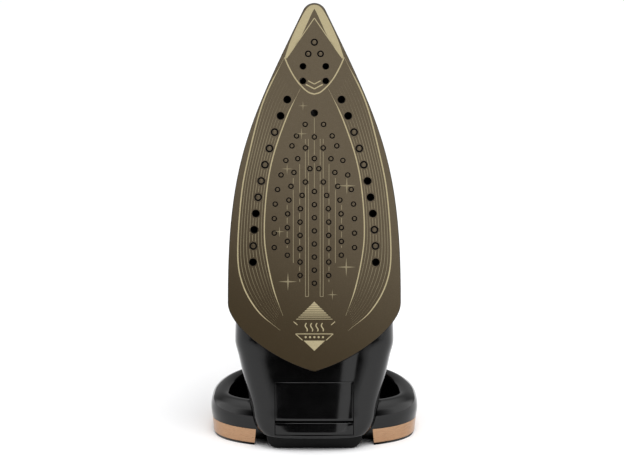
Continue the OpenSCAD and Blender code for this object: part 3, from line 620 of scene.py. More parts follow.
# ---------------------------------------------------------------- soleplate
@dataclass
class Soleplate:
    """The coated plate with its outlets and print, and the heat skirt behind it.

    Attributes:
        length: Length from the heel point to the tip.
        width: Greatest width.
        thickness: Thickness of the plate.
        edge: Radius of the plate's edges.
        tip_radius: Radius of the tip.
        belly: Length position of the greatest width.
        tip_angle: Half-angle of the tip, in degrees.
        outlet: Diameter of a large steam outlet.
        vent: Diameter of a small one.
        skirt_table: Height above the sole face and inset of the skirt's outside.
        wall: Wall of the skirt.
    """

    length: float = 252.0
    width: float = 118.0
    thickness: float = 1.6
    edge: float = 0.35
    tip_radius: float = 8.0
    belly: float = 48.0
    tip_angle: float = 26.0
    outlet: float = 5.4
    vent: float = 3.8
    skirt_table: tuple[tuple[float, float], ...] = (
        (1.7, -0.4), (7, -0.4), (13, 0.6), (17.5, 2.3), (21.2, 3.9), (22, 4.9))
    wall: float = 2.4
    half_outline: list[tuple[float, float]] = field(default_factory=list)
    side: list[tuple[float, float]] = field(default_factory=list)

    def __post_init__(self) -> None:
        """Draws the right-hand half of the outline, from the heel point to the tip."""
        half, tip = self.width / 2, math.radians(self.tip_angle)
        centre = self.length - self.tip_radius
        shoulder = (self.tip_radius * math.cos(tip), centre + self.tip_radius * math.sin(tip))
        pull = (shoulder[0] + 88 * math.sin(tip), shoulder[1] - 88 * math.cos(tip))
        self.side = bezier([(half, self.belly), (half, self.belly + 93), pull, shoulder], 56)
        heel = bezier([(0, 0), (27, 7), (half, self.belly - 17), (half, self.belly - 1)], 28)
        arc = [polar(self.tip_radius, a) for a in range(34, 91, 8)]
        self.half_outline = heel + self.side + [(x, centre + u) for x, u in arc]

    def half_at(self, u: float) -> float:
        """Returns the plate's half-width at a length position above its belly."""
        for (x0, u0), (x1, u1) in zip(self.side, self.side[1:]):
            if u <= u1:
                return mix(x0, x1, max(0.0, (u - u0) / (u1 - u0)))
        return self.side[-1][0]

    def plan(self, inset: float = 0.0) -> list[tuple[float, float]]:
        """Returns the whole outline, moved in by an amount."""
        h = self.half_outline
        right = []
        for i, (x, u) in enumerate(h):
            before = h[i - 1] if i else (-h[1][0], h[1][1])
            after = h[i + 1] if i + 1 < len(h) else (-h[i - 1][0], h[i - 1][1])
            along = Vector((after[0] - before[0], after[1] - before[1])).normalized()
            right.append((x - inset * along.y, u + inset * along.x))
        right[0], right[-1] = (0.0, right[0][1]), (0.0, right[-1][1])
        return right + [(-x, u) for x, u in reversed(right[1:-1])]

    def ring(self, w: float, inset: float) -> Ring:
        """Returns the outline as a ring at a height above the sole face."""
        return [Vector((x, w, u)) for x, u in self.plan(inset)]

    def prism_between(self, low: float, high: float, inset: float) -> BMesh:
        """Returns a solid of the outline between two heights."""
        return loft([self.ring(low, inset), self.ring(high, inset)])

    def holes(self) -> list[tuple[float, float, float, bool]]:
        """Lists the outlets as x, length, diameter and whether steam comes through."""
        out = []
        for side, open_ones in ((1, (0, 3, 4, 5, 9, 10)), (-1, (0, 2, 3, 9, 10))):
            for i in range(11):
                u = 75.1 + 11.15 * i
                x = self.width / 2 - 16.9 - 23.4 * max(0.0, (u - 74.7) / 111.5) ** 2.05
                out.append((side * x, u, self.outlet, i in open_ones))
            for i, (x, u) in enumerate(((4.2, 217.8), (7.8, 209.3), (7.8, 199.3))):
                out.append((side * x, u, self.outlet - 0.8, i > 0))
            for offset, bend, start, first, pitch, count in (
                    (9.8, 0.0059, 105.4, 66, 9.16, 9), (18.5, 0.0034, 100.3, 79.9, 9.46, 8),
                    (27.5, 0.0044, 102.3, 85.1, 9.97, 8)):
                for i in range(count):
                    u = first + pitch * i
                    out.append((side * (offset - bend * max(0.0, u - start) ** 2), u, self.vent, False))
            out += [(side * x, u, self.vent, False) for x, u in ((6.3, 169.6), (12.2, 161.7), (6.1, 153.5))]
        out += [(0, 177.4, self.outlet - 0.4, True), (0, 225.7, self.outlet - 0.4, False)]
        out += [(0, 60.6 + 9 * i, self.vent, False) for i in range(8)]
        return out + [(0, 146.2, self.vent, False), (0, 161, self.vent, False)]

    def plate(self) -> BMesh:
        """Makes the plate: its outline with every outlet open and its edges rolled."""
        blank = bpy.data.curves.new("plate_blank", "CURVE")
        blank.dimensions, blank.fill_mode = "2D", "BOTH"
        blank.extrude = self.thickness / 2 - self.edge
        blank.bevel_depth, blank.bevel_resolution, blank.offset = self.edge, 2, -self.edge
        loops = [self.plan()]
        for x, u, d, _ in self.holes():
            loops.append([(x + a, u + b) for a, b in (polar(d / 2, 15 * n) for n in range(24))])
        for loop in loops:
            spline = blank.splines.new("POLY")
            spline.points.add(len(loop) - 1)
            for point, (x, u) in zip(spline.points, loop):
                point.co = (x, u, 0, 1)
            spline.use_cyclic_u = True
        holder = bpy.data.objects.new("plate_blank", blank)
        bpy.context.scene.collection.objects.link(holder)
        mesh = bpy.data.meshes.new_from_object(holder.evaluated_get(bpy.context.evaluated_depsgraph_get()))
        bm = bmesh.new()
        bm.from_mesh(mesh)
        bpy.data.objects.remove(holder)
        bpy.data.curves.remove(blank)
        bpy.data.meshes.remove(mesh)
        bmesh.ops.remove_doubles(bm, verts=bm.verts, dist=1e-4)
        bmesh.ops.recalc_face_normals(bm, faces=bm.faces)
        return moved(bm, Matrix.Translation((0, self.thickness / 2, 0)) @ SOLE_FACE)

    def outlet_seats(self) -> BMesh:
        """Makes the raised seats in the bottoms of the closed outlets."""
        seats = []
        for x, u, d, is_open in self.holes():
            if not is_open:
                rings = []
                for r, z in ((d * 0.3, -1.66), (d * 0.28, -0.62), (d * 0.2, -0.42)):
                    circle = (polar(r, 22.5 * n) for n in range(16))
                    rings.append([Vector((x + a, u + b, z)) for a, b in circle])
                seats.append(loft(rings))
        return moved(joined(seats), SOLE_FACE)

    def skirt(self) -> BMesh:
        """Makes the heat skirt, open towards the plate."""
        def make(w: float, shrink: float) -> Ring:
            """Ring of the skirt at a height."""
            return self.ring(w, smooth_row(self.skirt_table, w)[0] + shrink)
        return loft(cup_rings(make, 22.0, 1.7, 1.4, self.wall, 0.6))

    def build(self) -> None:
        """Makes the plate, its outlet seats, its print and the skirt."""
        make_piece("sole_plate", self.plate(), STANDING, BRONZE_COATING, stands_for=["soleplate"], sharp=9)
        make_piece("outlet_seats", self.outlet_seats(), STANDING, BRONZE_COATING)
        make_piece("heat_skirt", self.skirt(), STANDING, DEEP_BLACK, stands_for=["skirt"])
        bold, fine = SolePrint(self).bold(), SolePrint(self).fine()
        make_piece("sole_print_bold", bold, STANDING, GOLD_PRINT, sharp=20)
        make_piece("sole_print_fine", fine, STANDING, PALE_GOLD, sharp=20)


@dataclass
class SolePrint:
    """The metallic print on the sole face, a little proud of the coating.

    Attributes:
        sole: The plate that it is printed on.
        lift: How far it stands proud.
        sink: How deep it reaches into the coating.
        scale: How much larger it is printed than it is drawn.
        outer: Outer framing curve on the right, as x and length.
        inner: Inner framing curve.
        tip_outside: Outside of the band at the tip.
        tip_inside: Inside of the band at the tip.
        bow: Line that closes the tip's field.
    """

    sole: Soleplate
    lift: float = 0.02
    sink: float = 0.05
    scale: float = 1.023
    outer: tuple[tuple[float, float], ...] = (
        (20.1, 210.4), (34.2, 180.9), (44, 144.4), (48.9, 117.3), (51.3, 80.1), (47.9, 58.3), (37.5, 40.2),
        (22.8, 27.5))
    inner: tuple[tuple[float, float], ...] = (
        (9.4, 189.6), (18.4, 170.9), (27.3, 145.4), (31.7, 122.6), (33.5, 96), (32.2, 78.4), (27.5, 56),
        (21.1, 37.5))
    tip_outside: tuple[tuple[float, float], ...] = (
        (19.9, 209.9), (16.2, 220.9), (11.9, 230.7), (8.2, 238), (5.4, 242.6), (2.8, 245), (0, 245.7))
    tip_inside: tuple[tuple[float, float], ...] = (
        (18.4, 209.9), (13.6, 216.6), (8.8, 224.6), (4.6, 233.6), (1.6, 240.2), (0, 243))
    bow: tuple[tuple[float, float], ...] = (
        (19.9, 210.6), (16.9, 203.9), (13.1, 197.1), (8.6, 191.4), (4, 187.4), (0, 186.1))

    def _path(self, points: Sequence[tuple[float, float]], count: int = 90) -> list[Vector]:
        """Returns a smooth path through a few points."""
        table = [(n, *p) for n, p in enumerate(points)]
        return [Vector(smooth_row(table, t)) for t in steps(0, len(points) - 1, (len(points) - 1) / count)]

    def _strip(self, left: Sequence[Vector], right: Sequence[Vector]) -> BMesh:
        """Makes a thin strip between two paths."""
        corners = ((0, -self.sink), (1, -self.sink), (1, self.lift), (0, self.lift))
        return loft([[Vector((*pair[n], z)) for n, z in corners] for pair in zip(left, right)])

    def _line(self, path: Sequence[Vector], width: float, fade: float = 0.0) -> list[BMesh]:
        """Makes a line that stops at each outlet.

        Args:
            path: Points that the line follows.
            width: Its width.
            fade: Share of its length over which it thins out at both ends.

        Returns:
            Its pieces.
        """
        dense = []
        for a, b in zip(path, path[1:]):
            count = max(1, math.ceil((b - a).length / 0.8))
            dense += [a.lerp(b, n / count) for n in range(count)]
        dense.append(path[-1])
        holes = [(Vector((x, u)) / self.scale, d / 2 + 0.35) for x, u, d, _ in self.sole.holes()]
        runs, run = [], []
        for n, point in enumerate(dense):
            before, after = dense[max(0, n - 1)], dense[min(len(dense) - 1, n + 1)]
            along = (after - before).normalized()
            t = n / (len(dense) - 1)
            thin = 1.0 if not fade else max(0.15, ease(min(t, 1 - t) / fade))
            side = Vector((-along.y, along.x)) * width * thin / 2
            if any((point - centre).length < reach for centre, reach in holes):
                runs.append(run)
                run = []
            else:
                run.append((point + side, point - side))
        return [self._strip(*zip(*r)) for r in [*runs, run] if len(r) > 2]

    def _printed(self, parts: Sequence[BMesh]) -> BMesh:
        """Puts the parts together at the size that they are printed."""
        return moved(joined(parts), SOLE_FACE @ Matrix.Diagonal((self.scale, self.scale, 1, 1)))

    def _shape(self, loop: Sequence[tuple[float, float]]) -> BMesh:
        """Makes a filled shape."""
        return loft([[Vector((x, y, z)) for x, y in loop] for z in (-self.sink, self.lift)])

    def _star(self, x: float, u: float, size: float) -> BMesh:
        """Makes a four-pointed star."""
        rays = (polar(size if n % 2 == 0 else 0.11 * size, 45 * n) for n in range(8))
        return self._shape([(x + a, u + b) for a, b in rays])

    def _emblem(self) -> list[BMesh]:
        """Makes the lozenge above the heel point: a shaded roof, rising steam and a pointed base."""
        parts = []
        for n in range(9):
            low = 45.6 - 1.33 * n
            high = low + 1.33 * (1.02 - 0.09 * n)
            parts.append(self._shape([((46.9 - low) * 1.03, low), (max(0.05, (46.9 - high)) * 1.03, high),
                                      (-max(0.05, (46.9 - high)) * 1.03, high), (-(46.9 - low) * 1.03, low)]))
        for x in (-5.4, -1.8, 1.8, 5.4):
            path = [Vector((x + 0.7 * math.sin(1.05 * (u - 26.4)), u)) for u in steps(26.9, 32.5, 0.4)]
            parts += self._line(path, 0.75)
        for a, b in (((-12.6, 25.2), (12.6, 25.2)), ((-12.6, 25.2), (-7.9, 20.9)),
                     ((12.6, 25.2), (7.9, 20.9)), ((-13.9, 33.5), (-11.3, 31.2)),
                     ((13.9, 33.5), (11.3, 31.2))):
            parts += self._line([Vector(a), Vector(b)], 0.55)
        for n in range(-2, 3):
            circle = (polar(0.75, 45 * k) for k in range(8))
            parts.append(self._shape([(2.9 * n + a, 23 + b) for a, b in circle]))
        parts.append(self._shape([(-7.2, 20.7), (0, 13.8), (7.2, 20.7)]))
        return parts

    def bold(self) -> BMesh:
        """Makes the two framing curves, the band at the tip and the emblem."""
        parts = []
        for side in (1, -1):
            for points, width in ((self.outer, 0.85), (self.inner, 0.8)):
                parts += self._line([Vector((side * p.x, p.y)) for p in self._path(points)], width, 0.12)
            out = self._path(self.tip_outside, 40)
            back = self._path(self.tip_inside, 40)
            parts.append(self._strip([Vector((side * p.x, p.y)) for p in out],
                                     [Vector((side * p.x, p.y)) for p in back]))
            arc = self._path(self.bow, 40)
            parts += self._line([Vector((side * p.x, p.y)) for p in arc], 0.85)
            parts += self._line([Vector((side * 12.7, 218.4)), Vector((0, 236.8))], 0.55)
            for high, low, width in ((192.6, 189.6, 0.75), (195, 192.8, 0.6)):
                parts += self._line([Vector((side * (high - low) * 1.9, high)), Vector((0, low))], width)
        return self._printed(parts + self._emblem())

    def fine(self) -> BMesh:
        """Makes the fan of thin lines, the stripes down the middle and the stars."""
        parts = []
        outer, inner = self._path(self.outer), self._path(self.inner)
        for side in (1, -1):
            for n in range(1, 9):
                path = [a.lerp(b, n / 9) for a, b in zip(outer, inner)][4:-3]
                parts += self._line([Vector((side * p.x, p.y)) for p in path], 0.32, 0.3)
            for x, low, high in ((3.9, 50.3, 156.1), (5.95, 50.3, 156.1), (9.8, 60.3, 139.4), (14.1, 73, 130),
                                 (18.2, 83.1, 111.9)):
                parts += self._line([Vector((side * x, low)), Vector((side * x, high))], 0.42)
            parts += self._line([Vector((side * 3.9, 50.4)), Vector((side * 5.95, 50.4))], 0.42)
        parts += self._line([Vector((0, 123.3)), Vector((0, 170.2))], 0.4)
        for x, u, size in ((-7.6, 178.3, 3.4), (-8.6, 159.6, 4), (-18.2, 136.1, 4), (21.7, 124.8, 6.2),
                           (-23.3, 94, 3.6), (21.4, 70.2, 6.4), (-17.7, 60.4, 6.4), (12.1, 51.6, 3.6)):
            parts.append(self._star(x, u, size))
        return self._printed(parts)


# ---------------------------------------------------------------- body
@dataclass
class WaterTank:
    """The smoked tank with its filling mouth, lid, steam slider and front neck.

    Attributes:
        sole: The plate whose plan it follows.
        crown: Length position and height of its top.
        floor: Height of its underside.
        inset: How far in from the plate's edge it stands.
        wall: Its wall.
        neck: Height, half-width, rear and front ends of the neck.
    """

    sole: Soleplate
    crown: tuple[tuple[float, float], ...] = (
        (85, 65), (102.5, 66.5), (125.5, 70), (150.5, 74), (172.5, 75), (192.5, 70), (208.5, 62), (220.5, 54),
        (230.5, 47), (238.5, 40), (242.5, 34))
    floor: float = 22.2
    inset: float = 4.5
    wall: float = 2.4
    neck: tuple[tuple[float, float, float, float], ...] = (
        (50, 21, 163, 207), (62, 20.5, 164, 206), (76, 18.5, 168, 203), (90, 17, 171.5, 200),
        (104, 18, 171, 201), (118, 19, 170, 202))
    mouth: Matrix = field(default_factory=lambda: upright(221.5, 54.5, 0, 36))
    nozzle: Matrix = field(default_factory=lambda: (
        Matrix.Translation((0, 92, 196)) @ Matrix.Rotation(math.radians(24), 4, "X")))

    def ring(self, u: float, shrink: float) -> Ring:
        """Returns the tank's ring at a length position."""
        top = smooth_row(self.crown, u)[0] - shrink
        half = max(0.8, self.sole.half_at(u) - self.inset - shrink)
        return section(u, half, 8 + shrink, top, 3.0, floor=self.floor + shrink)

    def solid(self, grow: float) -> BMesh:
        """Returns the tank filled in and grown, to cut what seats on it."""
        return loft([self.ring(u, -grow) for u in steps(85, 242.5, 3)])

    def _neck(self, head: BMesh) -> BMesh:
        """Makes the neck between tank and head."""
        rings = [level(w, *smooth_row(self.neck, w), 2.6) for w in steps(50, 118, 2.5)]
        return carved(loft(rings), [self.solid(SEAM), head, moved(drum(5.35, -12, 18), self.nozzle)])

    def _lid(self) -> BMesh:
        """Makes the lid over the filling mouth, with its barrel, finger lip and drop mark."""
        lid = prism(rounded_loop(21, 23, 6), 1.7, 4.1, 0.9, 0.3)
        barrel = moved(prism(rounded_loop(4.4, 4.4, 2.19, 6), -4.5, 4.5, 0.3, 0.3),
                       Matrix.Translation((0, 10.9, 3.3)) @ Matrix.Rotation(math.radians(90), 4, "Y"))
        lip = moved(prism(rounded_loop(9, 1.6, 0.7, 4), 3.9, 4.6, 0.3), Matrix.Translation((0, -9.2, 0)))
        outline = []
        for a in range(0, 360, 15):
            across, along = polar(2.2, 90 - a)[0], -polar(2.2, a)[0]
            if 90 <= a <= 270:
                narrow = abs(math.sin(math.radians(a))) ** 0.6 if a != 180 else 1
                across, along = across * narrow, along * 2.1 * narrow
            outline.append((across, along - 1.2))
        drop = prism(outline, 3.9, 4.35, 0.15)
        return joined([lid, barrel, lip, drop])

    def build(self, head: BMesh) -> None:
        """Makes the tank and everything that sits on it.

        Args:
            head: The head filled in and grown, which cuts the neck.
        """
        shell = loft(cup_rings(self.ring, 242.5, 85.0, 2.6, self.wall, 2.2))
        cutters = [moved(drum(9.15, -14, 16), self.mouth), moved(drum(2.3, -8, 12, 24), upright(152, 75)),
                   moved(drum(4.2, -4, 6, 24), upright(128, 22))]
        make_piece("tank_shell", carved(shell, cutters), STANDING, SMOKED, stands_for=["water_tank"])
        make_piece("front_neck", self._neck(head), STANDING, PIANO_BLACK, stands_for=["neck_shell"])
        collar = lathe([(7, -8), (8.8, -8), (8.8, 1.0), (8.4, 1.4), (7.4, 1.4), (7, 1.0)])
        make_piece("mouth_collar", collar, STANDING @ self.mouth, SATIN_BLACK, stands_for=["fill_collar"])
        make_piece("mouth_lid", self._lid(), STANDING @ self.mouth, PIANO_BLACK, "filler_lid", ["fill_door"])
        nozzle = lathe([(0.6, -6), (5, -6), (5, 4.4), (4.6, 5.2), (3.4, 7), (2.3, 7), (2, 6.7), (1.6, 5.4),
                        (0.6, 5.4)])
        make_piece("spray_tip", nozzle, STANDING @ self.nozzle, COPPER, stands_for=["spray_nozzle"])
        self._slider()

    def _slider(self) -> None:
        """Makes the steam slider, its ramped knob and its track."""
        track = moved(prism(rounded_loop(44, 13, 5), 0, 7.4, 0.8), upright(152, 69))
        slot = moved(prism(rounded_loop(34, 5.2, 2.5), 0, 3), upright(152, 75.7))
        track = carved(track, [self.solid(0.1), slot])
        make_piece("slider_bed", track, STANDING, SATIN_BLACK, stands_for=["slider_track"])
        base, top = 76.5, 77.8
        loop = [(-11, base), (-10.4, base), (-10.4, top + 2.9), (-8, top + 2.9), (8, top + 0.4),
                (10.4, top + 0.4), (10.4, base), (11, base), (11, top + 3.4), (3.2, top + 4.4),
                (1.2, top + 6.6), (-1.2, top + 6.6), (-3.2, top + 4.4), (-11, top + 3.4)]
        knob = prism(loop, -4, 4, 0.35, 0.35, 2)
        make_piece("slider_knob", knob, STANDING @ Matrix.Translation((-8, 0, 152)), COPPER, "steam_control",
                   ["steam_slider"])


@dataclass
class RearBody:
    """The rear shell, from the column's foot up to the tank, with the scale collector's door.

    Attributes:
        sole: The plate whose plan it follows.
        flare: How fast the column widens.
        shoulder: Length position and half-width where the column ends.
        face: Distance of its front face behind the sole face.
        end: Length position where the tank begins.
        wall: Its wall.
        door: Half-width, bottom and top of the collector's door.
        strip_low: Lower edge of the strip under the door.
        gap: Seam round the door.
    """

    sole: Soleplate
    flare: float = 0.235
    shoulder: tuple[float, float] = (19.0, 55.2)
    face: float = 8.0
    end: float = 85.0
    wall: float = 2.4
    door: tuple[float, float, float] = (27.0, -35.6, -8.6)
    strip_low: float = -45.3
    gap: float = 0.35

    def __post_init__(self) -> None:
        """Works out the base and the table of lengths, half-widths and tops."""
        self.base = (10 - SOLE_LIFT) / math.cos(LEAN)
        body = self.sole.half_at(48) - 4.5
        self.table = [(self.base, self.column(self.base + 5) - 3.4, 63.0),
                      (self.base + 3.5, self.column(self.base + 9) - 1.2, 65.0),
                      (self.base + 9, self.column(self.base + 14), 66.0), (-28, self.column(-26), 66.0),
                      (-8, self.column(-7), 66.0), (8, self.column(8), 66.0),
                      (19, mix(self.shoulder[1], body, 0.1), 66.0),
                      (34, mix(self.shoulder[1], body, 0.6), 66.0),
                      (50, self.sole.half_at(50) - 4.5, 66.0),
                      (self.end - SEAM, self.sole.half_at(self.end) - 4.5, 65.0)]

    def column(self, u: float) -> float:
        """Returns the column's half-width."""
        return self.shoulder[1] - self.flare * (self.shoulder[0] - u)

    def _slope(self, u: float) -> float:
        """Returns how the rings lean, which is level with the floor at the base."""
        return min(1.0, max(0.0, u / self.base)) * math.tan(LEAN)

    def _section(self, u: float, shrink: float) -> tuple[float, float, float, float]:
        """Returns half-width, middle, rise and squareness at a length position."""
        half, high = smooth_row(self.table, u)
        low, high = self.face + shrink, high - shrink
        squareness = mix(3.8, 3.0, ease((u - 40) / (self.end - 40)))
        return half - shrink, (low + high) / 2, (high - low) / 2, squareness

    def ring(self, u: float, shrink: float) -> Ring:
        """Returns the ring at a length position, with even columns across the door."""
        half, mid, rise, n = self._section(u, shrink)
        reach = self.door[0] + self.gap
        start = math.atan2(-((1 - (reach / half) ** n) ** (1 / n)), reach / half)
        points = []
        for k in range(97):
            x, y = squircle(mix(start, math.pi - start, k / 96), n)
            points.append((half * x, mid + rise * y))
        for x in steps(-reach, reach, 3.4)[1:-1]:
            points.append((x, mid - rise * (1 - abs(x / half) ** n) ** (1 / n)))
        slope = self._slope(u)
        return [Vector((x, w, u + slope * w)) for x, w in points]

    def solid(self, grow: float) -> BMesh:
        """Returns the shell filled in and grown, to cut what seats on it."""
        stations = [self.base - grow, *steps(self.base + 0.5, self.end - SEAM, 3)[1:]]
        return loft([self.ring(u, -grow) for u in stations])

    def _station(self, u: float, w: float) -> float:
        """Returns the ring position whose point at height w lies at length u."""
        return u / (1 + w * math.tan(LEAN) / self.base)

    def _shell(self) -> BMesh:
        """Makes the shell with the window for the door and the strip."""
        low, high = self.strip_low - self.gap, self.door[2] + self.gap

        def stations(shrink: float) -> list[float]:
            """Ring positions from the base to the tank, with rows at the window's ends."""
            w = self.face + shrink
            a, b = self._station(low, w), self._station(high, w)
            start = self.base + (shrink + 0.4 if shrink else 1.2)
            return [*steps(start, a, 1.2), *steps(a, b, 2.2)[1:], *steps(b, self.end - SEAM, 2.4)[1:]]

        inside = [self.ring(u, self.wall) for u in stations(self.wall)]
        outside = [self.ring(u, 0) for u in reversed(stations(0.0))]
        corner = (polar(1.2, a) for a in (72, 54, 36, 18, 0))
        base = [self.ring(self.base + 1.2 - along, 1.2 - inset) for along, inset in corner]
        bm = loft(inside + outside + base)
        reach = self.door[0] + self.gap
        for vert in bm.verts:
            if abs(vert.co.x) < reach + 0.01 and vert.co.y < 14:
                for edge in (low, high):
                    if abs(vert.co.z - edge) < 0.5:
                        vert.co.z = edge
        window = []
        for face in bm.faces:
            x, y, z = face.calc_center_median()
            if abs(x) < reach and y < 14 and low < z < high and abs(face.normal.y) > 0.8:
                window.append(face)
        bmesh.ops.delete(bm, geom=window, context="FACES")
        rim = [e for e in bm.edges if e.is_boundary]
        bmesh.ops.bridge_loops(bm, edges=rim)
        bmesh.ops.recalc_face_normals(bm, faces=bm.faces)
        return bm

    def _panel(self, low: float, high: float, thick: float) -> BMesh:
        """Makes a panel that continues the front face between two lengths."""
        bm = bmesh.new()
        bmesh.ops.create_grid(bm, x_segments=26, y_segments=max(4, round((high - low) / 2)), size=1.0)
        for vert in bm.verts:
            x, u = vert.co.x * self.door[0], mix(low, high, (vert.co.y + 1) / 2)
            half, mid, rise, n = self._section(self._station(u, self.face), 0)
            vert.co = (x, mid - rise * (1 - abs(x / half) ** n) ** (1 / n), u)
        bmesh.ops.inset_region(bm, faces=bm.faces[:], thickness=0.7, use_even_offset=True)
        front = set(bm.faces)
        grown = bmesh.ops.extrude_face_region(bm, geom=bm.faces[:], use_keep_orig=True)["geom"]
        for vert in (g for g in grown if isinstance(g, bmesh.types.BMVert)):
            vert.co.y += thick
        bmesh.ops.recalc_face_normals(bm, faces=bm.faces)
        edge = [e for e in bm.edges if len(e.link_faces) == 2 and sum(f in front for f in e.link_faces) == 1]
        rounded(bm, edge, 0.4, 3)
        return bm

    def build(self, dial_seat: BMesh) -> None:
        """Makes the shell, the door and the strip under it.

        Args:
            dial_seat: Cutter for the hole that the dial's seat fills.
        """
        shell = carved(self._shell(), [self.sole.prism_between(-2, 22.2, -1.3), dial_seat])
        make_piece("column_and_body", shell, STANDING, PIANO_BLACK, stands_for=["rear_shell"])
        door = self._panel(self.door[1], self.door[2], 2.6)
        make_piece("scale_door", door, STANDING, PIANO_BLACK, "scale_collector", ["collector_door"])
        strip = self._panel(self.strip_low, self.door[1] - 1.3, 2.4)
        make_piece("strip_under_door", strip, STANDING, PIANO_BLACK)


@dataclass
class Tower:
    """The rear tower from the column up to the grip, with the swivelling cord gland.

    Attributes:
        base: Length position of the column's underside.
        table: Height, half-width, how far the back stands off the heel plane, and front end.
        ball: Radius of the gland's ball.
        bore: Radius of its cord bore.
    """

    base: float
    table: tuple[tuple[float, float, float, float], ...] = (
        (34, 46, 2, 44), (52, 45.5, 1, 40), (62, 43, 0, 36.5), (72, 38.5, 0, 31), (84, 33, 0, 26),
        (97, 28, 0, 22), (110, 24, 0, 19), (122, 21.5, 1.5, 17.5), (130, 20, 4.5, 17), (136, 17, 9, 16.5),
        (139.5, 12, 15, 15.5))
    ball: float = 9.0
    bore: float = 3.6
    gland: Matrix = field(default_factory=lambda: upright(0, 133, 0, -10))

    def ring(self, w: float, shrink: float) -> Ring:
        """Returns the tower's ring at a height above the sole face."""
        half, off, front = smooth_row(self.table, w)
        back = self.base + w * math.tan(LEAN) + off
        return level(w, max(1.0, half - shrink), back + shrink, front - shrink, 3.0, 112)

    def solid(self, grow: float) -> BMesh:
        """Returns the tower grown, to cut what seats on it."""
        return loft([self.ring(w, -grow) for w in [*steps(34, 139.4, 2.6), 139.5 + grow]])

    def build(self, rear: BMesh) -> None:
        """Makes the tower, the gland's socket and the gland.

        Args:
            rear: The rear shell filled in and grown, which cuts the tower.
        """
        body = loft(solid_rings(self.ring, 34, 139.5, 2.2, 0.0, 2.0))
        shell = carved(body, [rear, moved(drum(13.35, -12, 30, 64), self.gland)])
        make_piece("tower", shell, STANDING, PIANO_BLACK, stands_for=["rear_tower"])
        hollow, lip = self.ball + 0.35, 8.1
        rim = math.sqrt(hollow**2 - lip**2)
        arc = [(hollow * math.cos(a), hollow * math.sin(a)) for a in steps(math.asin(rim / hollow),
                                                                           math.asin(-5 / hollow), 0.16)]
        socket = lathe([(12.5, rim), (lip + 0.4, rim), *arc, (13, -5), (13, rim - 0.5)])
        make_piece("gland_ring", socket, STANDING @ self.gland, SATIN_BLACK, stands_for=["gland_socket"])
        foot = math.sqrt(self.ball**2 - self.bore**2)
        neck = self.bore + 1.1
        top = math.asin(math.sqrt(self.ball**2 - neck**2) / self.ball)
        ball = [(self.ball * math.cos(a), self.ball * math.sin(a))
                for a in steps(-math.asin(foot / self.ball), top, 0.1)]
        ribs = []
        for z in (9.2, 11.2, 13.2):
            ribs += [(neck - 0.1, z - 0.5), (neck + 0.55, z - 0.3), (neck + 0.55, z + 0.3),
                     (neck - 0.1, z + 0.5)]
        gland = lathe([(self.bore, -foot + 0.02), *ball[1:], *ribs, (neck, 15.4), (neck - 0.5, 16),
                       (self.bore + 0.3, 16), (self.bore, 15.7)])
        pins = [moved(prism(rounded_loop(4.4, 4.4, 2.19, 6), 8.2, 11.2, 0.3),
                      Matrix.Rotation(math.radians(90 * s), 4, "Y")) for s in (1, -1)]
        make_piece("swivel_gland", joined([gland, *pins]), STANDING @ self.gland, GLAND_RUBBER, "gland",
                   ["cord_gland"])


# ---------------------------------------------------------------- handle and controls
class Half(Enum):
    """Which half of the grip a shell is."""

    UPPER = 1
    LOWER = -1


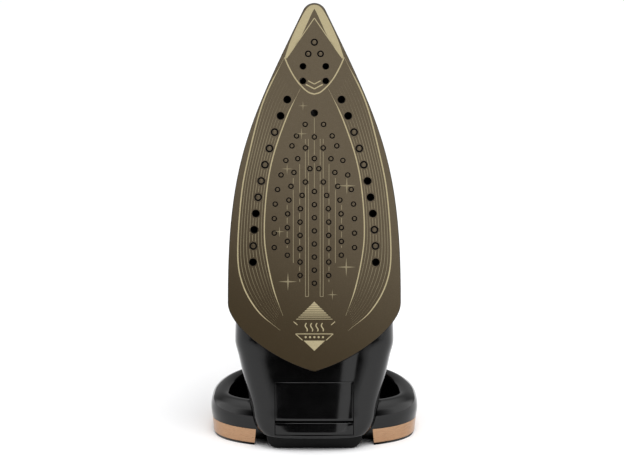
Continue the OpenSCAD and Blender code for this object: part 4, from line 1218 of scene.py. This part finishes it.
@dataclass
class Handle:
    """The grip in two shells with a trim line between, and the head with its two keys.

    Attributes:
        grip: Length position, half-width, lowest and highest point of the grip.
        head: The same for the head.
        wall: Wall of the shells.
        trim: Height of the trim strip.
        keys: Place of the keys on the head.
        key_size: Width and length of a key.
    """

    grip: tuple[tuple[float, float, float, float], ...] = (
        (4, 19.5, 113, 139), (50, 17.5, 116, 143), (85, 16.5, 118, 146), (115, 16.5, 118, 147),
        (145, 18, 116.5, 146), (167.7, 20.5, 114, 144))
    head: tuple[tuple[float, float, float, float], ...] = (
        (168, 21, 114, 144), (176, 22.5, 111, 144.5), (186, 23, 108, 142), (196, 21.5, 105.5, 135.5),
        (203, 17.5, 106, 128), (206.5, 11, 109, 122))
    wall: float = 2.4
    trim: float = 2.2
    keys: Matrix = field(default_factory=lambda: upright(187, 140.6, 0, 22))
    key_size: tuple[float, float] = (12.6, 19.0)

    def head_ring(self, u: float, shrink: float) -> Ring:
        """Returns the head's ring at a length position."""
        half, low, high = smooth_row(self.head, u)
        return section(u, half - shrink, low + shrink, high - shrink, 2.6, count=96)

    def head_solid(self, grow: float) -> BMesh:
        """Returns the head filled in and grown, to cut the neck."""
        stations = [168 - grow, *steps(168, 206.4, 2.4)[1:], 206.5 + grow]
        return loft([self.head_ring(u, -grow) for u in stations])

    def _arc(self, u: float, shrink: float, start: float, half: Half) -> list[tuple[float, float]]:
        """Returns the grip's section from one side of the split round to the other."""
        wide, low, high = smooth_row(self.grip, u)
        mid, rise, n = (low + high) / 2, (high - low) / 2 - shrink, 2.3
        y = (start - mid) / rise
        a = math.atan2(y, (1 - abs(y) ** n) ** (1 / n))
        end = math.pi - a if half is Half.UPPER else -math.pi - a
        return [((wide - shrink) * p[0], mid + rise * p[1]) for p in (squircle(mix(a, end, k / 44), n)
                                                                     for k in range(45))]

    def _split(self, u: float) -> float:
        """Returns the height of the trim line's middle."""
        _, low, high = smooth_row(self.grip, u)
        return (low + high) / 2 + 1

    def _shell(self, half: Half, tower: BMesh) -> BMesh:
        """Makes one half of the grip."""
        rings = []
        for u in steps(4, 167.7, 2.1):
            start = self._split(u) + half.value * (self.trim / 2 + 0.1)
            outer = self._arc(u, 0, start, half)
            inner = self._arc(u, self.wall, start, half)
            rings.append([Vector((x, w, u)) for x, w in outer + inner[::-1]])
        cutters = [tower]
        if half is Half.UPPER:
            cutters.append(moved(drum(3.2, 0, 40), upright(40, 132.5)))
        return carved(loft(rings), cutters)

    def _finger_pads(self, bm: BMesh) -> BMesh:
        """Raises rows of small pads where the fingers hold the grip."""
        pads = [f for f in bm.faces if len(f.verts) == 4 and f.normal.y < -0.45 and f.calc_area() < 12
                and 44 < f.calc_center_median().z < 142 and f.calc_center_median().y < 126]
        bmesh.ops.inset_individual(bm, faces=pads, thickness=0.45, depth=0.22)
        return bm

    def _trim_strip(self, tower: BMesh) -> BMesh:
        """Makes the trim line on both sides of the grip."""
        loop = rounded_loop(2.2, 2.2, 0.6, 3)
        strips = []
        for side in (1, -1):
            rings = []
            for u in steps(4, 167.7, 3):
                centre = side * (smooth_row(self.grip, u)[0] - 0.85)
                rings.append([Vector((centre + x, self._split(u) + y, u)) for x, y in loop])
            strips.append(loft(rings))
        return carved(joined(strips), [tower])

    def _key(self, side: int, marks: Sequence[tuple[float, float, float, float]]) -> tuple[BMesh, BMesh]:
        """Makes a key and the marks on it, each a small bar of x, y, width and length."""
        wide, long = self.key_size
        key = prism(rounded_loop(wide, long, 4), -2.6, 2.15, 1.1)
        top = max(key.faces, key=lambda f: f.calc_center_median().z * 1000 + f.calc_area())
        bmesh.ops.inset_region(key, faces=[top], thickness=1.6, depth=-0.3)
        top = max((f for f in key.faces if f.normal.z > 0.99), key=lambda f: f.calc_area())
        low = top.calc_center_median().z
        bars = []
        for x, y, w, h in marks:
            bar = prism(rounded_loop(w, h, min(w, h) * 0.49, 3), low - 0.1, low + 0.12)
            bars.append(moved(bar, Matrix.Translation((x, y, 0))))
        place = Matrix.Translation((side * (wide / 2 + 1.6), 0, 0))
        return moved(key, place), moved(joined(bars), place)

    def build(self, tower: Callable[[float], BMesh]) -> None:
        """Makes the grip, the trim, the lens, the head, the bezel and the keys.

        Args:
            tower: Gives the tower grown by an amount, which cuts the grip.
        """
        make_piece("grip_upper", self._shell(Half.UPPER, tower(SEAM)), STANDING, PIANO_BLACK,
                   stands_for=["handle_upper"])
        lower = self._finger_pads(self._shell(Half.LOWER, tower(SEAM)))
        make_piece("grip_lower", lower, STANDING, SOFT_TOUCH, stands_for=["handle_lower"])
        make_piece("grip_trim", self._trim_strip(tower(SEAM)), STANDING, COPPER, stands_for=["handle_trim"])
        lens = lathe([(0, 0), (3.9, 0), (3.9, 2), (3, 2), (3, 5.7), (2.7, 6.1), (1.9, 6.35), (0, 6.4)], 40)
        make_piece("pilot_window", lens, STANDING @ upright(40, 135.7), AMBER, stands_for=["pilot_lens"])
        opening = moved(prism(rounded_loop(33.9, 25.7, 6.4), -8, 12), self.keys)
        head = carved(loft(cup_rings(self.head_ring, 206.5, 168, 1.8, self.wall, 3.0)), [opening])
        make_piece("head_shell", head, STANDING, PIANO_BLACK, stands_for=["head_housing"])
        wide, long = self.key_size
        opening = rounded_loop(wide + 0.7, long + 0.7, 4.2)
        holes = [moved(prism(opening, -8, 8), Matrix.Translation((s * 7.9, 0, 0))) for s in (1, -1)]
        bezel = carved(prism(rounded_loop(33.2, 25, 6), -3.4, 0.6, 0.7), holes)
        make_piece("key_bezel", bezel, STANDING @ self.keys, COPPER, stands_for=["button_bezel"])
        bars = [(x, 0, 0.8, 4.6) for x in (-2, 0, 2)]
        dots = [(x, y, 1.2, 1.2) for x, y in ((0, 2), (-1.6, -0.8), (1.6, -0.8))]
        for side, body, node, marks in ((1, "boost_key", "boost_button", bars),
                                        (-1, "spray_key", "spray_button", dots)):
            key, raised = self._key(side, marks)
            make_piece(body + "_cap", key, STANDING @ self.keys, SATIN_BLACK, body, [node])
            make_piece(body + "_mark", raised, STANDING @ self.keys, PALE_GOLD, body)


@dataclass
class Dial:
    """The temperature dial and its seat.

    Attributes:
        u: Length position of its axis.
        w: Height of the seat's top.
        radius: Radius of the dial.
        thick: Thickness of the dial; not used.
        flutes: Number of finger flutes.
        profile: Radius, height and depth of flute, from the underside round to the middle of the top.
    """

    u: float = 61.0
    w: float = 70.4
    radius: float = 20.0
    thick: float = 8.0
    flutes: int = 24
    profile: tuple[tuple[float, float, float], ...] = (
        (16, 0, 0), (19.6, 0, 0.2), (20, 0.4, 0.5), (20, 1.4, 0.8), (20, 6.7, 1), (19.6, 7.4, 1),
        (18.9, 7.9, 0.8), (18, 8, 0), (16.2, 8, 0), (15.9, 7.7, 0), (15.7, 7.1, 0), (12.3, 7.1, 0),
        (12.1, 7.5, 0), (11.7, 7.8, 0), (6, 7.95, 0), (1.5, 8, 0))

    def cutter(self) -> BMesh:
        """Returns the cutter for the seat's hole in the rear shell."""
        return moved(drum(self.radius + 2.85, -16, 14, 72), upright(self.u, self.w))

    def build(self) -> None:
        """Makes the seat with its heat marks, and the fluted dial with its pointer."""
        outer, dish = self.radius + 2.5, self.radius + 0.8
        seat = lathe([(3.6, 6), (3.6, 7.5), (dish, 7.5), (dish, 8.7), (dish + 0.3, 9), (outer - 0.5, 9),
                      (outer, 8.5), (outer, 0), (outer - 3, 0), (outer - 3, 6)], 96)
        place = STANDING @ upright(self.u, self.w - 9)
        make_piece("dial_ring", seat, place, SATIN_BLACK, stands_for=["dial_seat"])
        marks = []
        for centre, count in ((-120, 1), (-60, 1), (0, 2), (60, 3), (120, 1)):
            for n in range(count):
                spot = polar(21.65, 90 + centre + 3.4 * (n - (count - 1) / 2))
                marks.append(moved(drum(0.5, 8.9, 9.03, 12), Matrix.Translation((*spot, 0))))
        make_piece("dial_ring_marks", joined(marks), place, PALE_GOLD)
        rows = []
        for radius, z, flute in self.profile:
            row = []
            for n in range(self.flutes * 8):
                a = 2 * math.pi * n / (self.flutes * 8)
                r = radius - 0.85 * flute * max(0.0, math.cos(self.flutes * a)) ** 1.5
                row.append(Vector((r * math.cos(a), r * math.sin(a), z)))
            rows.append(row)
        place = STANDING @ upright(self.u, self.w - 1.4)
        make_piece("dial_knob", loft(rows), place, SATIN_BLACK, "dial", ["temperature_dial"], 28)
        pointer = prism(rounded_loop(1.3, 6.4, 0.6, 4), 7.6, 8.08, 0.06)
        pointer = moved(pointer, Matrix.Translation((0, 8.2, 0)))
        band = lathe([(12.5, 7.05), (15.5, 7.05), (15.5, 7.22), (12.5, 7.22)], 72)
        make_piece("dial_pointer", joined([pointer, band]), place, COPPER, "dial")


# ---------------------------------------------------------------- heel stand
@dataclass
class HeelStand:
    """The stand round the column's foot, in the floor's frame.

    Attributes:
        half: Half of its width.
        depth: Its depth.
        mid: Distance of its widest line from its front.
        squareness: Exponent of its plan.
        band_low: Underside of the metal band.
        band_high: Top of the metal band.
        notch_depth: How far back the gap under the column reaches.
        column_foot: Half-width of the column's underside.
    """

    half: float = 72.5
    depth: float = 122.0
    mid: float = 44.0
    squareness: float = 2.4
    band_low: float = 1.6
    band_high: float = 12.1
    notch_depth: float = 22.0
    column_foot: float = 39.14

    def ring(self, inset: float, front: float, back: float, z: float) -> Ring:
        """Returns the plan at a height, moved in, with more at the front and the back."""
        points = []
        for n in range(144):
            x, y = squircle(2 * math.pi * n / 144, self.squareness)
            reach = (self.mid - inset - front) if y < 0 else (self.depth - self.mid - inset - back)
            points.append(Vector(((self.half - inset) * x, self.mid + reach * y, z)))
        return points

    def _ring_body(self) -> BMesh:
        """Makes the stand with its rim and its dished floor."""
        rim = [(0, 0.8, 0, 0, 12.2), (1, 0, 0, 0, 19), (2, 1.2, 0, 0, 25), (3, 4, 0.8, 0, 27.9),
               (4, 8.2, 2.5, 0, 29.5), (5, 11.6, 5, 0, 28.7), (6, 13.5, 6.5, -1.5, 26),
               (7, 14, 6.5, -1.5, 19), (8, 14.4, 6.5, -1.5, 11.6), (9, 16, 6.6, -1.5, 9.5)]
        low = ((2.6, 0), (2.9, 1.0), (3.35, 1.5), (3.4, 1.6), (2.4, self.band_high), (2.3, 12.15))
        rings = [self.ring(inset, 0, 0, z) for inset, z in low]
        rings += [self.ring(*smooth_row(rim, t)) for t in steps(0, 9, 0.25)]
        rings.append(self.ring(19, 6.6, -1.5, 9.4))
        return loft(rings)

    def _notch(self) -> BMesh:
        """Makes the cutter for the gap beside the foot."""
        half = [(self.column_foot + 2.4, -1), (self.column_foot + 2.2, 2.6), (self.column_foot + 1.4, 12.3)]
        loop = half + [(-x, z) for x, z in reversed(half)]
        return moved(prism(loop, -self.notch_depth, 60 - self.notch_depth), SOLE_FACE)

    def _band(self, side: int) -> BMesh:
        """Makes the metal band on one side."""
        low, high = self.band_low + 0.1, self.band_high - 0.1
        rows = [(2.1, low), (1.85, low + 0.25), (0.95, high - 0.3), (1.15, high), (2.3, high), (3.3, low)]
        band = loft([self.ring(inset, 0, 0, z) for inset, z in rows], closed=True)
        other = prism([(0.1 * side, -60), (-200 * side, -60), (-200 * side, 260), (0.1 * side, 260)], -10, 50)
        return carved(band, [self._notch(), other])

    def build(self, column: Callable[[float], BMesh], tower: Callable[[float], BMesh]) -> None:
        """Makes the stand, its two bands and the foot.

        Args:
            column: Gives the rear shell grown by an amount.
            tower: Gives the tower grown by an amount.
        """
        to_floor = Matrix.Translation((0, -FOOT_FRONT, SOLE_LIFT)) @ Matrix.Rotation(-LEAN, 4, "X")
        cutters = [self._notch(), moved(column(0.35), to_floor), moved(tower(0.35), to_floor)]
        for x, y in ((-46, 84), (46, 84), (0, 112)):
            cutters.append(moved(drum(3.2, -1, 3, 32), Matrix.Translation((x, y, 0))))
        stand = carved(self._ring_body(), cutters)
        make_piece("stand_ring", stand, ON_FLOOR, PIANO_BLACK, stands_for=["heel_stand"])
        for side, node in ((-1, "heel_band_left"), (1, "heel_band_right")):
            name = "stand_band_" + node.rsplit("_", 1)[1]
            make_piece(name, self._band(side), ON_FLOOR, COPPER, stands_for=[node])
        corner = (polar(8, a) for a in range(0, 91, 10))
        loop = [(-33, 9.8)] + [(-25 - x, 8 - z) for x, z in corner]
        loop += [(-x, z) for x, z in reversed(loop)]
        foot = moved(prism(loop, -21.9, 0, 1.0, 0.4), SOLE_FACE)
        make_piece("column_foot", foot, ON_FLOOR, DEEP_BLACK, stands_for=["heel_foot"])


# ---------------------------------------------------------------- studio
def aimed(place: Sequence[float], target: Sequence[float]) -> Matrix:
    """Returns the place of a lamp or camera that looks at a target."""
    way = Vector(target) - Vector(place)
    return Matrix.Translation(place) @ way.to_track_quat("-Z", "Y").to_matrix().to_4x4()


@dataclass(frozen=True)
class Softbox:
    """A rectangular lamp: its place, what it is aimed at, its size in metres and its power in watts."""

    name: str
    place: tuple[float, float, float]
    aim: tuple[float, float, float]
    size: tuple[float, float]
    power: float

    def light(self) -> None:
        """Puts the lamp in the scene."""
        lamp = bpy.data.lights.new(self.name, "AREA")
        lamp.shape, lamp.size, lamp.size_y, lamp.energy = "RECTANGLE", *self.size, self.power
        holder = bpy.data.objects.new(self.name, lamp)
        holder.matrix_world = aimed(self.place, self.aim)
        bpy.context.scene.collection.objects.link(holder)


@dataclass
class Studio:
    """Camera, floor, lamps and surroundings.

    Attributes:
        camera: Place of the camera.
        target: Point that it looks at.
        lens: Focal length in millimetres.
        sides: Brightness of the surroundings at both sides.
        ring: Share of that brightness by direction, from the back (0) to the front (1).
        top: Brightness overhead.
        lamps: The softboxes.
    """

    camera: tuple[float, float, float] = (-0.0016, -2.4825, 0.7696)
    target: tuple[float, float, float] = (-0.0016, -0.06, 0.1521)
    lens: float = 209.8
    sides: float = 2.2
    ring: tuple[tuple[float, float], ...] = (
        (0.0, 0.16), (0.08, 0.16), (0.3, 1.0), (0.66, 1.0), (0.9, 0.008), (1.0, 0.008))
    top: float = 1.6
    lamps: tuple[Softbox, ...] = (
        Softbox("key", (0.3, -1.0, 1.5), (0, -0.05, 0.2), (1.2, 0.8), 17),
        Softbox("strip", (0.245, -1.35, 0.4), (0, -0.05, 0.1), (0.24, 0.9), 1.0),
    )

    def _surroundings(self) -> None:
        """Builds a white backdrop for the camera and bright sides with a dark front for reflections."""
        world = bpy.data.worlds.new("studio")
        bpy.context.scene.world = world
        world.use_nodes = True
        tree = world.node_tree
        tree.nodes.clear()

        def node(kind: str, **settings: object) -> bpy.types.Node:
            """Adds a node with some of its settings."""
            made = tree.nodes.new(kind)
            for key, value in settings.items():
                setattr(made, key, value)
            return made

        where = node("ShaderNodeTexCoord")
        axes = node("ShaderNodeSeparateXYZ")
        tree.links.new(where.outputs["Generated"], axes.inputs[0])
        flat = node("ShaderNodeCombineXYZ")
        tree.links.new(axes.outputs["X"], flat.inputs["X"])
        tree.links.new(axes.outputs["Y"], flat.inputs["Y"])
        unit = node("ShaderNodeVectorMath", operation="NORMALIZE")
        tree.links.new(flat.outputs[0], unit.inputs[0])
        turned = node("ShaderNodeSeparateXYZ")
        tree.links.new(unit.outputs[0], turned.inputs[0])
        share = node("ShaderNodeMapRange")
        share.inputs["From Min"].default_value, share.inputs["From Max"].default_value = 1.0, -1.0
        tree.links.new(turned.outputs["Y"], share.inputs["Value"])
        ramp = node("ShaderNodeValToRGB")
        ramp.color_ramp.interpolation = "EASE"
        while len(ramp.color_ramp.elements) < len(self.ring):
            ramp.color_ramp.elements.new(0.5)
        for element, (position, grey) in zip(ramp.color_ramp.elements, self.ring):
            element.position, element.color = position, (grey, grey, grey, 1)
        tree.links.new(share.outputs["Result"], ramp.inputs["Fac"])
        bright = node("ShaderNodeMath", operation="MULTIPLY")
        bright.inputs[1].default_value = self.sides
        tree.links.new(ramp.outputs["Color"], bright.inputs[0])
        rise = node("ShaderNodeMapRange", interpolation_type="SMOOTHSTEP")
        rise.inputs["From Min"].default_value, rise.inputs["From Max"].default_value = 0.5, 0.9
        tree.links.new(axes.outputs["Z"], rise.inputs["Value"])
        over = node("ShaderNodeMix")
        over.inputs[3].default_value = self.top
        tree.links.new(rise.outputs["Result"], over.inputs[0])
        tree.links.new(bright.outputs[0], over.inputs[2])
        lit, backdrop = node("ShaderNodeBackground"), node("ShaderNodeBackground")
        tree.links.new(over.outputs[0], lit.inputs["Strength"])
        path, choose = node("ShaderNodeLightPath"), node("ShaderNodeMixShader")
        out = node("ShaderNodeOutputWorld")
        tree.links.new(path.outputs["Is Camera Ray"], choose.inputs["Fac"])
        tree.links.new(lit.outputs[0], choose.inputs[1])
        tree.links.new(backdrop.outputs[0], choose.inputs[2])
        tree.links.new(choose.outputs[0], out.inputs["Surface"])

    def _floor(self) -> None:
        """Lays the pale floor."""
        bm = bmesh.new()
        bmesh.ops.create_grid(bm, x_segments=4, y_segments=4, size=15.0)
        mesh = bpy.data.meshes.new("studio_floor")
        bm.to_mesh(mesh)
        bm.free()
        paint = bpy.data.materials.new("studio_white")
        paint.use_nodes = True
        shader = paint.node_tree.nodes["Principled BSDF"]
        shader.inputs["Base Color"].default_value = (0.93, 0.93, 0.935, 1)
        shader.inputs["Roughness"].default_value = 0.7
        shader.inputs["Specular IOR Level"].default_value = 0.1
        mesh.materials.append(paint)
        floor = bpy.data.objects.new("studio_floor", mesh)
        bpy.context.scene.collection.objects.link(floor)

    def build(self) -> None:
        """Sets up camera, floor, lamps and surroundings."""
        lens = bpy.data.cameras.new("camera")
        lens.lens, lens.sensor_width, lens.clip_end = self.lens, 36.0, 60.0
        camera = bpy.data.objects.new("camera", lens)
        camera.matrix_world = aimed(self.camera, self.target)
        bpy.context.scene.collection.objects.link(camera)
        bpy.context.scene.camera = camera
        self._floor()
        for lamp in self.lamps:
            lamp.light()
        self._surroundings()
        bpy.context.scene.view_settings.view_transform = "Standard"


# ---------------------------------------------------------------- inner parts
INNER_PARTS: tuple[tuple[Finish, str], ...] = (
    # The heater casting's near-black finish is painted shade for the open outlets.
    (SHADE_BLACK_CAST, "heater_casting"),
    (CAST_METAL, "chamber_cover"),
    (STEEL, "heating_element thermostat fill_door_pin valve_rod"),
    (STEEL, "boost_spring spray_spring skirt_screws heel_screws"),
    (CERAMIC, "thermal_fuse terminal_block"),
    (BRASS, "scale_duct valve_seat dial_spindle"),
    (RED_SILICONE, "tank_gasket collector_seal"),
    (MILK_PLASTIC, "tank_end boost_piston spray_piston boost_pump spray_pump spray_tube"),
    (BOARD_GREEN, "control_board"),
    (TRAY_GREY, "collector_cup"),
)


def dress_inner_parts(nodes: dict[str, bpy.types.Object]) -> None:
    """Gives each remaining part of the frame its finish.

    Args:
        nodes: The frame's objects by name.
    """
    for finish, names in INNER_PARTS:
        for name in names.split():
            mesh = nodes[name].data
            mesh.materials.clear()
            mesh.materials.append(finish.material())


def main() -> None:
    """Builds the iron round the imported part."""
    logging.basicConfig(level=logging.INFO, format="%(message)s")
    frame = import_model()
    studio = Studio()
    studio.build()
    sole = Soleplate()
    sole.build()
    handle, tank, rear, dial, stand = Handle(), WaterTank(sole), RearBody(sole), Dial(), HeelStand()
    tower = Tower(rear.base)
    rear.build(dial.cutter())
    tank.build(handle.head_solid(SEAM))
    tower.build(rear.solid(SEAM))
    handle.build(tower.solid)
    dial.build()
    stand.build(rear.solid, tower.solid)
    dress_inner_parts(frame["nodes"])


if __name__ == "__main__":
    main()
